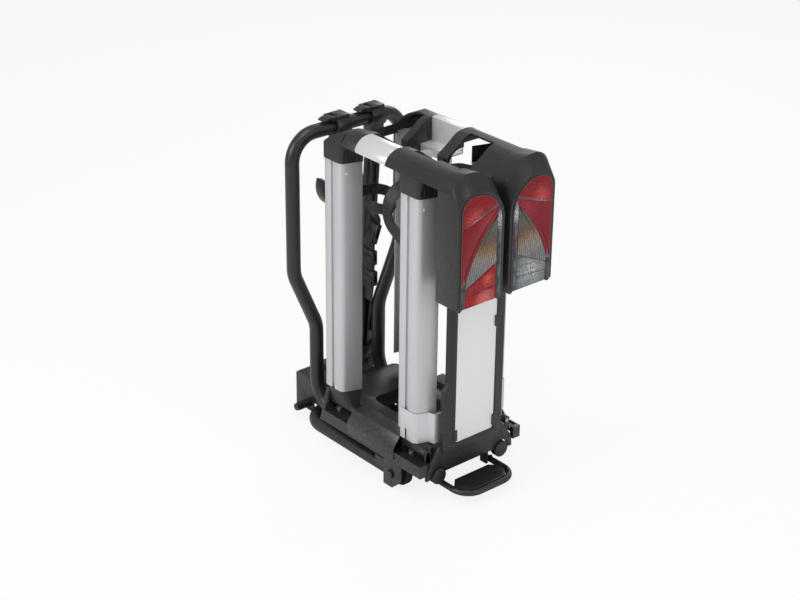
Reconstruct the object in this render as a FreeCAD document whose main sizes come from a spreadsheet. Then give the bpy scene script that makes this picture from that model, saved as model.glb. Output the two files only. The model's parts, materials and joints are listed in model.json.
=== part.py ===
import FreeCAD
import Part
import Sketcher

import math
import os

# Folded tow-bar bike carrier, standing on its transport wheels and its lower frame.
# Millimetres. X runs across, +Y points at the vehicle, +Z is up. The origin is the middle
# of the footprint, on the ground. The near wing stands at -X, the far wing mirrors it at +X.

Vector = FreeCAD.Vector

SIZES = {
    # whole carrier
    "half_length": 309,
    "running_gap": 0.5,
    "seat_gap": 0.3,
    "bore_gap": 0.16,
    "sheet_wall": 3,
    # lower frame, which stays on the tow bar
    "lower_tube_diameter": 30,
    "lower_tube_wall": 2.5,
    "lower_tube_x": 112,
    "lower_tube_bend": 60,
    "crossbar_y": 228,
    "lower_cross_y": 118,
    "lower_cross_diameter": 20,
    "buffer_x": 45,
    "buffer_size": 26,
    # wheels and tilt pivot
    "axle_y": -121,
    "wheel_radius": 34,
    "wheel_width": 16,
    "wheel_x": 118,
    "axle_diameter": 10,
    "axle_inner_x": 105,
    "fork_plate": 3,
    "fork_height": 24,
    "pivot_plate_front": -98,
    "pivot_plate_back": -156,
    "pivot_plate_foot": 2,
    "pivot_plate_heel": 27,
    # coupling
    "coupling_half_width": 75.5,
    "coupling_back": 172,
    "coupling_bottom": 4,
    "coupling_top": 92,
    "coupling_wall": 3.5,
    "coupling_chamfer": 7,
    "ball_bore_radius": 25.5,
    "ball_y": 272,
    "ball_bore_depth": 46,
    "socket_half_width": 34,
    "lever_half_width": 20,
    "lever_length": 100,
    "lever_thickness": 11,
    "lever_pin_y": 190,
    "lever_lift": 8,
    "lever_pin": 6,
    "adjuster_diameter": 20,
    "adjuster_length": 40,
    "adjuster_y": 259,
    "adjuster_z": 26,
    # support frame
    "main_tube_diameter": 32,
    "main_tube_wall": 2,
    "main_tube_x": 92,
    "main_tube_z": 53,
    "main_tube_back": -206,
    "leg_y": 208,
    "foot_bend": 75,
    "kink_low": 257,
    "kink_high": 398,
    "kink_bend": 80,
    "upper_leg_x": 154,
    "top_bar_z": 723,
    "top_bend": 60,
    "cap_length": 15,
    "cap_diameter": 38,
    "beam_height": 26,
    "beam_width": 24,
    # platform
    "channel_x": 148,
    "channel_bottom": 66,
    "channel_lip": 94,
    "channel_front": 118,
    "channel_back": -220,
    "channel_floor": 91,
    "channel_inner_x": 76,
    "end_plate_x": 129,
    "end_plate_top": 142,
    "deck_top": 118,
    "deck_half_width": 97,
    "deck_front": 152,
    "deck_back": -206,
    "deck_opening_x": 56,
    "deck_opening_front": 50,
    "deck_opening_back": -92,
    "deck_opening_round": 18,
    "deck_collar": 36,
    "cover_x": 151,
    "cover_top": 129,
    "cover_crease_z": 103,
    "cover_edge_x": 133,
    "cover_bottom": 76,
    "cover_front": 24,
    "cover_back": -134,
    "cover_wall": 2.6,
    "panel_back": -217.5,
    "holder_web": 2,
    "panel_thickness": 7.5,
    "panel_bottom": 58,
    "panel_flare_x": 124,
    "panel_shoulder": 121,
    "panel_neck_x": 82,
    "panel_neck_top": 262,
    # wing hinges
    "hinge_x": 117,
    "hinge_z": 113,
    "hinge_pin": 8,
    "knuckle_radius": 9,
    "web_radius": 7,
    "foot_reach": 14,
    "foot_back": 62,
    "rear_foot_back": 54,
    "floor_bolt_x": 113,
    "floor_bolt": 8,
    # rails
    "rail_x": 131,
    "rail_bottom": 151,
    "rail_depth": 47,
    "rail_base": 61,
    "rail_mouth": 90,
    "rail_round": 14,
    "rail_wall": 2.5,
    "rail_core": 8,
    "rail_plug": 5,
    "slot_width": 9,
    "slot_depth": 5,
    "front_rail_y": 98,
    "rear_rail_y": -152,
    "corner_bottom": 700,
    # wing ends
    "wing_face": 133,
    "crest_x": 86,
    "crest_z": 771,
    "shoulder_z": 738,
    "corner_wall": 4.5,
    "gutter_edge_x": 12,
    "gutter_edge_z": 730,
    "gutter_half": 38,
    "gutter_rear_reach": 26,
    "hood_band": 18,
    "rear_hood_band": 30,
    "dome_drop": 14.5,
    "dome_fall": 64,
    "front_corner_back": 22,
    "light_corner_front": -76,
    "profile_lip_x": 54,
    "profile_ledge_z": 714,
    "profile_edge_z": 741,
    "profile_wall": 3,
    # lights
    "lens_proud": 3,
    "light_depth": 65,
    "light_crest_reach": 22,
    "light_crest_z": 779,
    "light_bottom": 495,
    "light_inner_x": 8,
    "light_wall": 3,
    "lens_margin": 8,
    "lens_shoulder_z": 706,
    "lens_crest_z": 745,
    "lens_end_z": 678,
    "lamp_end_z": 705,
    "lens_depth": 13,
    "lens_wall": 2.5,
    # number plate
    "plate_length": 520,
    "plate_width": 112,
    "plate_bottom": 126,
    "holder_border": 23.5,
    "holder_back": -217.8,
    "holder_thickness": 10.2,
    "holder_foot": 22,
    "holder_step": 11,
    "holder_step_z": 264,
    "near_tab_z": 144,
    "high_tab_z": 388,
    "tab_half": 13,
    "stud_x": 40,
    "stud_z": 196,
    "holder_travel": 25,
    "bracket_bottom": 132,
    "bracket_height": 72,
    "bracket_thickness": 2,
    # pedal
    "pedal_x": 75,
    "pedal_z": 26,
    "pedal_diameter": 14,
    "pedal_pin_y": -196,
    "pedal_back": -296,
    "pedal_pad_depth": 58,
    "pedal_bend": 42,
    # frame holders
    "clamp_width": 38,
    "clamp_radius": 25,
    "clamp_near_x": -24,
    "clamp_far_x": 75,
    "lever_width": 24,
    "clamp_pin": 4,
    "arm_width": 35,
    "arm_depth": 16,
    "long_arm_low_y": 250,
    "long_arm_low_z": 130,
    "claw_z": 588,
    "claw_radius": 56,
    "claw_section": 17,
    "claw_width": 28,
}

doc = FreeCAD.newDocument("folded_bike_carrier")
sheet = doc.addObject("Spreadsheet::Sheet", "Sizes")
for row, (alias, number) in enumerate(SIZES.items(), start=1):
    sheet.set(f"A{row}", alias)
    sheet.set(f"B{row}", str(number))
    sheet.setAlias(f"B{row}", alias)
doc.recompute()


class Size:
    """A length that knows its number and the spreadsheet formula that it comes from."""

    def __init__(self, value, text):
        self.value = float(value)
        self.text = text

    @staticmethod
    def of(number):
        return number if isinstance(number, Size) else Size(number, f"{number}")

    def __add__(self, other):
        other = Size.of(other)
        return Size(self.value + other.value, f"({self.text} + {other.text})")

    def __sub__(self, other):
        other = Size.of(other)
        return Size(self.value - other.value, f"({self.text} - {other.text})")

    def __mul__(self, other):
        other = Size.of(other)
        return Size(self.value * other.value, f"({self.text} * {other.text})")

    def __truediv__(self, other):
        other = Size.of(other)
        return Size(self.value / other.value, f"({self.text} / {other.text})")

    def __neg__(self):
        return Size(-self.value, f"(0 - {self.text})")

    def __float__(self):
        return self.value

    __radd__ = __add__

    def __rsub__(self, other):
        return Size.of(other) - self


class Sheet:
    """The driving dimensions by name, read back from the spreadsheet."""

    def __getattr__(self, name):
        return Size(sheet.get(name), f"Sizes.{name}")


s = Sheet()
NODES = []


def node(name, obj):
    """Give an object the name that its file gets."""
    obj.Label = name
    NODES.append(obj)
    return obj


def bind(obj, path, size):
    obj.setExpression(path, Size.of(size).text)


# Part primitives

def box(name, x, y, z):
    """A block from three (low, high) pairs."""
    block = doc.addObject("Part::Box", name)
    for side, axis, (low, high) in zip(("Length", "Width", "Height"), "xyz", (x, y, z)):
        bind(block, side, Size.of(high) - low)
        bind(block, f"Placement.Base.{axis}", low)
    return block


AXIS_TURN = {
    "x": FreeCAD.Rotation(Vector(0, 1, 0), 90),
    "y": FreeCAD.Rotation(Vector(1, 0, 0), -90),
    "z": FreeCAD.Rotation(),
}


def rod(name, axis, diameter, start, end, x=0, y=0, z=0):
    """A cylinder along one axis, from start to end on that axis."""
    cylinder = doc.addObject("Part::Cylinder", name)
    cylinder.Placement = FreeCAD.Placement(Vector(), AXIS_TURN[axis])
    bind(cylinder, "Radius", Size.of(diameter) / 2)
    bind(cylinder, "Height", Size.of(end) - start)
    place = {"x": x, "y": y, "z": z}
    place[axis] = start
    for letter, value in place.items():
        bind(cylinder, f"Placement.Base.{letter}", value)
    return cylinder


def fuse(name, parts):
    joined = doc.addObject("Part::MultiFuse", name)
    joined.Shapes = parts
    return joined


def cut(name, base, tool):
    rest = doc.addObject("Part::Cut", name)
    rest.Base = base
    rest.Tool = tool
    return rest


def mirror(name, source):
    """The far side's copy of a near piece."""
    copy = doc.addObject("Part::Mirroring", name)
    copy.Source = source
    copy.Normal = Vector(1, 0, 0)
    copy.Base = Vector(0, 0, 0)
    return copy


def group(name, parts):
    """Separate solids that share one node."""
    bundle = doc.addObject("Part::Compound", name)
    bundle.Links = parts
    return bundle


# PartDesign bodies

PLANES = {"XY": ("XY_Plane", 1), "XZ": ("XZ_Plane", -1), "YZ": ("YZ_Plane", 1)}


def sketch(body, name, plane, points, at):
    """A closed outline of straight sides; its corners are tied to the spreadsheet."""
    role, sign = PLANES[plane]
    drawing = body.newObject("Sketcher::SketchObject", name)
    origin = [f for f in body.Origin.OriginFeatures if f.Role == role][0]
    drawing.AttachmentSupport = [(origin, "")]
    drawing.MapMode = "FlatFace"
    offset = Size.of(at) * sign
    drawing.AttachmentOffset = FreeCAD.Placement(Vector(0, 0, offset.value), FreeCAD.Rotation())
    bind(drawing, "AttachmentOffset.Base.z", offset)
    corners = [(Size.of(a), Size.of(b)) for a, b in points]
    total = len(corners)
    for i in range(total):
        a = corners[i]
        b = corners[(i + 1) % total]
        start = Vector(a[0].value, a[1].value, 0)
        end = Vector(b[0].value, b[1].value, 0)
        drawing.addGeometry(Part.LineSegment(start, end))
    for i in range(total):
        drawing.addConstraint(Sketcher.Constraint("Coincident", i, 2, (i + 1) % total, 1))
    for i, corner in enumerate(corners):
        for kind, size in zip(("DistanceX", "DistanceY"), corner):
            number = drawing.addConstraint(Sketcher.Constraint(kind, -1, 1, i, 1, size.value))
            if "Sizes" in size.text:
                bind(drawing, f"Constraints[{number}]", size)
    return drawing


def pad(body, name, plane, points, low, high):
    """Extrude an outline between two places on the axis that crosses its plane."""
    start = high if PLANES[plane][1] < 0 else low
    profile = sketch(body, name + "_outline", plane, points, start)
    feature = body.newObject("PartDesign::Pad", name)
    feature.Profile = profile
    bind(feature, "Length", Size.of(high) - low)
    doc.recompute()
    return feature


def pocket(body, name, plane, points, low, high):
    """Cut an outline away between two places on the axis that crosses its plane."""
    start = low if PLANES[plane][1] < 0 else high
    profile = sketch(body, name + "_outline", plane, points, start)
    feature = body.newObject("PartDesign::Pocket", name)
    feature.Profile = profile
    before = body.Shape.Volume
    bind(feature, "Length", Size.of(high) - low)
    doc.recompute()
    if body.Shape.Volume > before - 1e-6:
        raise RuntimeError(f"{name} cuts nothing")
    return feature


def new_body(name):
    return doc.addObject("PartDesign::Body", name)


def edges_at(shape, places, axis):
    """Names of the straight edges along an axis whose two other coordinates are given."""
    names = []
    others = [i for i in range(3) if i != axis]
    for number, edge in enumerate(shape.Edges, start=1):
        first, last = edge.Vertexes[0].Point, edge.Vertexes[-1].Point
        if abs(first[axis] - last[axis]) < 1e-6:
            continue
        for place in places:
            near = all(
                abs(point[i] - float(value)) < 0.01
                for point in (first, last)
                for i, value in zip(others, place)
            )
            if near:
                names.append(f"Edge{number}")
    return names


def round_edges(body, name, feature, places, axis, radius, kind="Fillet"):
    """Round or chamfer the edges of a feature that stand at the given places."""
    names = edges_at(feature.Shape, places, axis)
    if not names:
        raise RuntimeError(f"{name} finds no edge")
    rounding = body.newObject(f"PartDesign::{kind}", name)
    rounding.Base = (feature, names)
    bind(rounding, "Radius" if kind == "Fillet" else "Size", radius)
    doc.recompute()
    return rounding


# Shapes made with Part's own functions, where neither a body nor a primitive fits

def free_form(name, shape):
    feature = doc.addObject("Part::Feature", name)
    feature.Shape = shape
    return feature


def rounded_path(points, radii):
    """Straight runs joined by tangent arcs; one radius for each inner point."""
    edges = []
    start = Vector(*points[0])
    for i, radius in enumerate(radii, start=1):
        corner = Vector(*points[i])
        back = (Vector(*points[i - 1]) - corner).normalize()
        ahead = (Vector(*points[i + 1]) - corner).normalize()
        half = back.getAngle(ahead) / 2
        reach = radius / math.tan(half)
        first = corner + back * reach
        last = corner + ahead * reach
        bisector = (back + ahead).normalize()
        middle = corner + bisector * (radius / math.sin(half) - radius)
        if (first - start).Length > 1e-6:
            edges.append(Part.LineSegment(start, first).toShape())
        edges.append(Part.Arc(first, middle, last).toShape())
        start = last
    edges.append(Part.LineSegment(start, Vector(*points[-1])).toShape())
    return Part.Wire(edges)


def swept(path, sections):
    """Sweep closed wires along a path and join them into one solid."""
    return path.makePipeShell(sections, True, False)


def round_bar(path, diameter):
    first = path.Edges[0]
    start = first.valueAt(first.FirstParameter)
    along = first.tangentAt(first.FirstParameter)
    circle = Part.Wire([Part.makeCircle(diameter / 2, start, along)])
    return swept(path, [circle])


def tube(path, diameter, wall):
    return round_bar(path, diameter).cut(round_bar(path, diameter - 2 * wall))


def prism(points, plane, low, high):
    """Extrude a closed outline whose entries are points, or (through, end) pairs for arcs."""
    def place(point):
        a, b = (float(v) for v in point)
        if plane == "XZ":
            return Vector(a, low, b)
        if plane == "YZ":
            return Vector(low, a, b)
        return Vector(a, b, low)

    edges = []
    start = place(points[0])
    first = start
    for entry in points[1:]:
        if isinstance(entry[0], tuple):
            through, end = place(entry[0]), place(entry[1])
            edges.append(Part.Arc(start, through, end).toShape())
        else:
            end = place(entry)
            edges.append(Part.LineSegment(start, end).toShape())
        start = end
    if (start - first).Length > 1e-6:
        edges.append(Part.LineSegment(start, first).toShape())
    along = {"XZ": Vector(0, 1, 0), "YZ": Vector(1, 0, 0), "XY": Vector(0, 0, 1)}[plane]
    return Part.Face(Part.Wire(edges)).extrude(along * (high - low))


def block(x, y, z):
    low = Vector(float(x[0]), float(y[0]), float(z[0]))
    size = [float(high) - float(first) for first, high in (x, y, z)]
    return Part.makeBox(*size, low)


# Lower frame

half_tube = s.lower_tube_diameter / 2
lower_tube_z = half_tube.value
tube_end = s.axle_y + s.wheel_radius + 5


def lower_frame():
    """U-shaped tube that lies on the ground, with one cross tube welded into it."""
    x, y = s.lower_tube_x.value, s.crossbar_y.value
    z = lower_tube_z
    end = tube_end.value
    bend = s.lower_tube_bend.value
    path = rounded_path([(-x, end, z), (-x, y, z), (x, y, z), (x, end, z)], [bend, bend])
    outer = round_bar(path, s.lower_tube_diameter.value)
    inner = round_bar(path, s.lower_tube_diameter.value - 2 * s.lower_tube_wall.value)
    cross = Part.makeCylinder(
        s.lower_cross_diameter.value / 2, 2 * x, Vector(-x, s.lower_cross_y.value, z), Vector(1, 0, 0)
    )
    return outer.fuse(cross).cut(inner).removeSplitter()


node("lower_frame", free_form("lower_frame", lower_frame()))

cross_top = half_tube + s.lower_cross_diameter / 2
beam_bottom = s.main_tube_z - s.beam_height / 2
beam_top = beam_bottom + s.beam_height
buffers = []
for side, sign in (("near", -1), ("far", 1)):
    middle = s.buffer_x * sign
    half = s.buffer_size / 2
    buffers.append(
        box(
            f"rest_buffer_{side}",
            (middle - half, middle + half),
            (s.lower_cross_y - half, s.lower_cross_y + half),
            (cross_top - 6, beam_bottom - s.seat_gap),
        )
    )
buffer_bore = rod(
    "buffer_bore", "x", s.lower_cross_diameter + s.seat_gap * 2, -s.lower_tube_x, s.lower_tube_x,
    y=s.lower_cross_y, z=half_tube,
)
node("rest_buffers", cut("rest_buffers", group("rest_buffer_pair", buffers), buffer_bore))

strap_inner = s.lower_tube_x + half_tube
strap_outer = strap_inner + s.fork_plate
strap_low = s.wheel_radius - s.fork_height / 2
strap_high = s.wheel_radius + s.fork_height / 2
near_strap = fuse(
    "near_strap",
    [
        box(
            "axle_strap", (-strap_outer, -strap_inner), (s.axle_y, tube_end + 34),
            (strap_low, strap_high),
        ),
        rod("axle_eye", "x", s.fork_height, -strap_outer, -strap_inner, y=s.axle_y, z=s.wheel_radius),
        box(
            "tube_end_plate", (-strap_outer, -s.lower_tube_x + half_tube),
            (tube_end - s.fork_plate, tube_end), (2, s.wheel_radius),
        ),
        rod(
            "tube_end_plug", "y", s.lower_tube_diameter - s.lower_tube_wall * 2, tube_end - 1, tube_end + 25,
            x=-s.lower_tube_x, z=half_tube,
        ),
    ],
)
axle_hole = s.axle_diameter + s.bore_gap
strap_bore = rod(
    "strap_bore", "x", axle_hole, -strap_outer - 5, -strap_inner + 5, y=s.axle_y, z=s.wheel_radius,
)
near_axle_strap = cut("near_axle_strap", near_strap, strap_bore)
axle_end = -s.channel_x
near_axle = fuse(
    "near_axle",
    [
        rod(
            "axle_shaft", "x", s.axle_diameter, axle_end - 1, -s.axle_inner_x,
            y=s.axle_y, z=s.wheel_radius,
        ),
        rod("axle_head", "x", 20, axle_end - 5, axle_end, y=s.axle_y, z=s.wheel_radius),
        rod("axle_spacer", "x", 18, axle_end + s.sheet_wall + 1, -strap_outer - s.running_gap,
            y=s.axle_y, z=s.wheel_radius),
        rod("axle_nut", "x", 16, -s.wheel_x + s.wheel_width / 2 + s.running_gap, -s.axle_inner_x,
            y=s.axle_y, z=s.wheel_radius),
    ],
)
near_axle_set = group("near_axle_set", [near_axle_strap, near_axle])
node("axle_straps", group("axle_straps", [near_axle_set, mirror("far_axle_set", near_axle_set)]))


def wheel():
    """Tyred transport wheel: a turned tread, a recessed web and a hub."""
    r = s.wheel_radius.value
    half = s.wheel_width.value / 2
    bore = axle_hole.value / 2
    hub = bore + 4
    rim = r - 7
    web = 3
    outline = [
        (-half, bore), (-half, hub), (-web, hub + 2), (-web, rim - 3), (-half, rim), (-half, r - 2.5),
        ((-half + 0.8, r - 0.8), (-half + 2.5, r)), (half - 2.5, r),
        ((half - 0.8, r - 0.8), (half, r - 2.5)), (half, rim), (web, rim - 3), (web, hub + 2),
        (half, hub), (half, bore), (-half, bore),
    ]
    edges = []
    start = Vector(outline[0][0], 0, outline[0][1])
    for entry in outline[1:]:
        if isinstance(entry[0], tuple):
            through = Vector(entry[0][0], 0, entry[0][1])
            end = Vector(entry[1][0], 0, entry[1][1])
            edges.append(Part.Arc(start, through, end).toShape())
        else:
            end = Vector(entry[0], 0, entry[1])
            edges.append(Part.LineSegment(start, end).toShape())
        start = end
    disc = Part.Face(Part.Wire(edges)).revolve(Vector(), Vector(1, 0, 0), 360)
    disc.translate(Vector(-s.wheel_x.value, s.axle_y.value, r))
    return disc


near_wheel = node("wheel_near", free_form("wheel_near", wheel()))
node("wheel_far", mirror("wheel_far", near_wheel))

# Coupling

housing = new_body("coupling_housing_body")
wide = s.coupling_half_width
shell = pad(
    housing, "coupling_block", "XY",
    [
        (-wide, s.coupling_back), (wide, s.coupling_back),
        (wide, s.half_length), (-wide, s.half_length),
    ],
    s.coupling_bottom, s.coupling_top,
)
round_edges(
    housing, "coupling_rim", shell,
    [(s.half_length, s.coupling_top), (s.coupling_back, s.coupling_top)], 0,
    s.coupling_chamfer, "Chamfer",
)
inside = wide - s.coupling_wall
pocket(
    housing, "coupling_hollow", "XY",
    [
        (-inside, s.coupling_back + s.coupling_wall), (inside, s.coupling_back + s.coupling_wall),
        (inside, s.half_length - s.coupling_wall), (-inside, s.half_length - s.coupling_wall),
    ],
    s.coupling_bottom, s.coupling_top - s.coupling_chamfer,
)
notch_half = half_tube + s.running_gap
bend_reach = s.coupling_half_width - s.lower_tube_x + s.lower_tube_bend
bend_inner = s.lower_tube_bend.value - notch_half.value
bend_drift = bend_inner - math.sqrt(max(bend_inner ** 2 - max(bend_reach.value, 0) ** 2, 0))
notch_back = s.crossbar_y - notch_half - bend_drift
pocket(
    housing, "crossbar_notch", "YZ",
    [
        (notch_back, s.coupling_bottom - 5), (s.crossbar_y + notch_half, s.coupling_bottom - 5),
        (s.crossbar_y + notch_half, s.lower_tube_diameter + s.running_gap),
        (notch_back, s.lower_tube_diameter + s.running_gap),
    ],
    -wide - 1, wide + 1,
)
lever_pin_z = s.coupling_top + s.lever_lift
for side, sign in (("near", -1), ("far", 1)):
    ear_low = (s.lever_half_width + s.running_gap) * sign
    ear_high = (s.lever_half_width + s.running_gap + 5) * sign
    low, high = (ear_high, ear_low) if sign < 0 else (ear_low, ear_high)
    pad(
        housing, f"lever_ear_{side}", "YZ",
        [
            (s.lever_pin_y - 9, s.coupling_top - 1), (s.lever_pin_y + 9, s.coupling_top - 1),
            (s.lever_pin_y + 6, lever_pin_z + 6), (s.lever_pin_y - 6, lever_pin_z + 6),
        ],
        low, high,
    )
bored_housing = cut(
    "bored_housing", housing,
    group(
        "housing_bores",
        [
            rod(
                "adjuster_bore", "x", s.adjuster_diameter + s.bore_gap, -wide - 2, -inside + 2,
                y=s.adjuster_y, z=s.adjuster_z,
            ),
            rod("lever_bore", "x", s.lever_pin + s.bore_gap, -wide, wide, y=s.lever_pin_y, z=lever_pin_z),
        ],
    ),
)
node("coupling_housing", bored_housing)

socket_block = box(
    "socket_block", (-s.socket_half_width, s.socket_half_width),
    (s.crossbar_y - half_tube - 8, s.half_length - s.coupling_wall - s.seat_gap),
    (s.coupling_bottom, s.coupling_top - s.coupling_chamfer),
)
socket_cuts = group(
    "socket_cuts",
    [
        rod("ball_bore", "z", s.ball_bore_radius * 2, s.coupling_bottom - 5,
            s.coupling_bottom + s.ball_bore_depth, y=s.ball_y),
        rod("saddle_bore", "x", s.lower_tube_diameter + s.seat_gap * 2, -s.lower_tube_x, s.lower_tube_x,
            y=s.crossbar_y, z=half_tube),
    ],
)
saddle_mouth = box(
    "saddle_mouth", (-s.socket_half_width - 5, s.socket_half_width + 5),
    (s.crossbar_y - half_tube - s.seat_gap, s.crossbar_y + half_tube + s.seat_gap),
    (-5, half_tube),
)
node("ball_socket", cut("ball_socket", cut("bored_socket", socket_block, socket_cuts), saddle_mouth))

lever = new_body("coupling_lever_body")
hw = s.lever_half_width
lever_bottom = s.coupling_top + 1.5
lever_pad = pad(
    lever, "lever_plate", "XY",
    [
        (-hw, s.lever_pin_y - 4), (hw, s.lever_pin_y - 4), (hw, s.lever_pin_y + s.lever_length - 14),
        (hw - 8, s.lever_pin_y + s.lever_length), (8 - hw, s.lever_pin_y + s.lever_length),
        (-hw, s.lever_pin_y + s.lever_length - 14),
    ],
    lever_bottom, lever_bottom + s.lever_thickness,
)
lever_pin = rod("lever_pin", "x", s.lever_pin, -hw - 6, hw + 6, y=s.lever_pin_y, z=lever_pin_z)
node("coupling_lever", fuse("coupling_lever", [lever, lever_pin]))

knob_end = -wide - s.adjuster_length
adjuster = fuse(
    "adjuster_knob",
    [
        rod("adjuster_barrel", "x", s.adjuster_diameter, knob_end + 6, -inside + 4,
            y=s.adjuster_y, z=s.adjuster_z),
        rod("adjuster_cap", "x", s.adjuster_diameter - 3, knob_end, knob_end + 6,
            y=s.adjuster_y, z=s.adjuster_z),
        rod("adjuster_stem", "x", 8, -inside + 4, -s.socket_half_width - s.seat_gap,
            y=s.adjuster_y, z=s.adjuster_z),
    ],
)
node("adjuster_knob", adjuster)


# Support frame

def main_tube():
    """One tube: two long bearers under the platform that turn up into the U-shaped frame."""
    x, z, y = s.main_tube_x.value, s.main_tube_z.value, s.leg_y.value
    up, low, high = s.upper_leg_x.value, s.kink_low.value, s.kink_high.value
    top = s.top_bar_z.value
    near = [(-x, s.main_tube_back.value, z), (-x, y, z), (-x, y, low), (-up, y, high), (-up, y, top)]
    far = [(-px, py, pz) for px, py, pz in reversed(near)]
    bends = [s.foot_bend.value, s.kink_bend.value, s.kink_bend.value, s.top_bend.value]
    path = rounded_path(near + far, bends + bends[::-1])
    return tube(path, s.main_tube_diameter.value, s.main_tube_wall.value)


node("support_frame", free_form("support_frame", main_tube()))

near_cap = fuse(
    "near_cap",
    [
        rod("cap_disc", "y", s.cap_diameter, s.main_tube_back - s.cap_length, s.main_tube_back,
            x=-s.main_tube_x, z=s.main_tube_z),
        rod("cap_plug", "y", s.main_tube_diameter - s.main_tube_wall * 2 - s.seat_gap,
            s.main_tube_back, s.main_tube_back + 20, x=-s.main_tube_x, z=s.main_tube_z),
    ],
)
node("tube_caps", group("tube_caps", [near_cap, mirror("far_cap", near_cap)]))

beams = []
beam_end = s.main_tube_x - 4
for place, y in (("front", s.lower_cross_y), ("rear", s.axle_y - 50)):
    beams.append(
        box(
            f"beam_{place}", (-beam_end, beam_end), (y - s.beam_width / 2, y + s.beam_width / 2),
            (beam_bottom, beam_bottom + s.beam_height),
        )
    )
beam_seats = group(
    "beam_seats",
    [
        rod(f"beam_seat_{side}", "y", s.main_tube_diameter + s.seat_gap, s.main_tube_back, s.leg_y,
            x=s.main_tube_x * sign, z=s.main_tube_z)
        for side, sign in (("near", -1), ("far", 1))
    ],
)
node("cross_beams", cut("cross_beams", group("beam_blanks", beams), beam_seats))

# Platform

tube_top = s.main_tube_z + s.main_tube_diameter / 2
floor_top = s.channel_floor
floor_bottom = floor_top - s.sheet_wall
wall = s.sheet_wall
channel_end = s.deck_back - 3.5
out = -s.channel_x
front_y, rear_y = s.front_rail_y, s.rear_rail_y
near_saddles = []
for place, y in (("front", s.lower_cross_y - 43), ("middle", s.axle_y + 40), ("rear", s.deck_back + 16)):
    near_saddles.append(
        box(
            f"saddle_{place}", (-s.main_tube_x - 12, -s.main_tube_x + 12), (y - 12, y + 12),
            (beam_top + s.seat_gap, floor_bottom),
        )
    )
saddle_seat = rod(
    "saddle_seat", "y", s.main_tube_diameter + s.seat_gap * 2, s.main_tube_back, s.leg_y,
    x=-s.main_tube_x, z=s.main_tube_z,
)
channel = new_body("channel_body")
pad(
    channel, "channel_section", "XZ",
    [
        (out, s.channel_bottom), (out + wall, s.channel_bottom), (out + wall, floor_bottom),
        (-s.channel_inner_x, floor_bottom), (-s.channel_inner_x, floor_top), (out + wall, floor_top),
        (out + wall, s.channel_lip), (out, s.channel_lip),
    ],
    channel_end, s.channel_front,
)
pad(
    channel, "channel_front_plate", "XZ",
    [
        (out, s.channel_bottom), (out + 10, s.channel_bottom), (-s.deck_half_width - 3, floor_bottom),
        (-s.deck_half_width - 3, s.hinge_z + 14), (-s.end_plate_x + 4, s.end_plate_top),
        (-s.end_plate_x, s.end_plate_top), (out, s.channel_bottom + 2),
    ],
    s.channel_front - wall, s.channel_front,
)
pad(
    channel, "channel_front_flange", "XZ",
    [
        (out, s.channel_bottom), (out + 5, s.channel_bottom), (-s.end_plate_x + 4, s.end_plate_top),
        (-s.end_plate_x, s.end_plate_top), (out, s.channel_bottom + 2),
    ],
    s.channel_front - 1, s.channel_front + 7,
)
pad(
    channel, "channel_tail", "XZ",
    [
        (out, s.channel_bottom), (-s.panel_flare_x - 3, s.channel_bottom),
        (-s.panel_flare_x - 3, s.channel_lip), (out, s.channel_lip),
    ],
    s.channel_back, channel_end,
)
web_reach = s.web_radius
for place, low, high in (
    ("front", s.cover_front - 6, front_y - s.foot_back - s.running_gap),
    ("rear", rear_y + s.foot_reach + s.running_gap, s.cover_back + 8),
    ("tail", channel_end, s.deck_back - s.running_gap),
):
    pad(
        channel, f"hinge_web_{place}", "XZ",
        [
            (-s.hinge_x - web_reach, floor_top), (-s.hinge_x + web_reach, floor_top),
            (-s.hinge_x + web_reach, s.hinge_z + web_reach),
            (-s.hinge_x - web_reach, s.hinge_z + web_reach),
        ],
        low, high,
    )
bolt_seats = [("front", front_y), ("rear", rear_y)]
channel_bores = [
    rod(
        f"bolt_bore_{place}", "z", s.floor_bolt + s.bore_gap, floor_bottom - 5, floor_top + 3,
        x=-s.floor_bolt_x, y=y,
    )
    for place, y in bolt_seats
]
pin_low = s.cover_front - 6
pin_bore = s.hinge_pin + s.bore_gap
channel_bores += [
    rod("front_pin_bore", "y", pin_bore, pin_low - 2, s.channel_front - 1, x=-s.hinge_x, z=s.hinge_z),
    rod(
        "rear_pin_bore", "y", pin_bore, channel_end - 2, s.cover_back + 10, x=-s.hinge_x, z=s.hinge_z,
    ),
]
near_channel = cut(
    "near_channel",
    fuse(
        "channel_on_saddles",
        [channel, cut("seated_saddles", group("near_saddles", near_saddles), saddle_seat)],
    ),
    group("channel_bores", channel_bores),
)
node("channel_near", near_channel)
node("channel_far", mirror("channel_far", near_channel))

near_bolts = []
for place, y in bolt_seats:
    near_bolts.append(
        fuse(
            f"floor_bolt_{place}",
            [
                rod(f"bolt_head_{place}", "z", 14, floor_top, floor_top + 5, x=-s.floor_bolt_x, y=y),
                rod(
                    f"bolt_shank_{place}", "z", s.floor_bolt, floor_bottom - 9, floor_top,
                    x=-s.floor_bolt_x, y=y,
                ),
            ],
        )
    )
near_pins = [
    rod("hinge_pin_front", "y", s.hinge_pin, pin_low, s.channel_front - 1.5, x=-s.hinge_x, z=s.hinge_z),
    rod("hinge_pin_rear", "y", s.hinge_pin, channel_end, s.cover_back + 8, x=-s.hinge_x, z=s.hinge_z),
]

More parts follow.
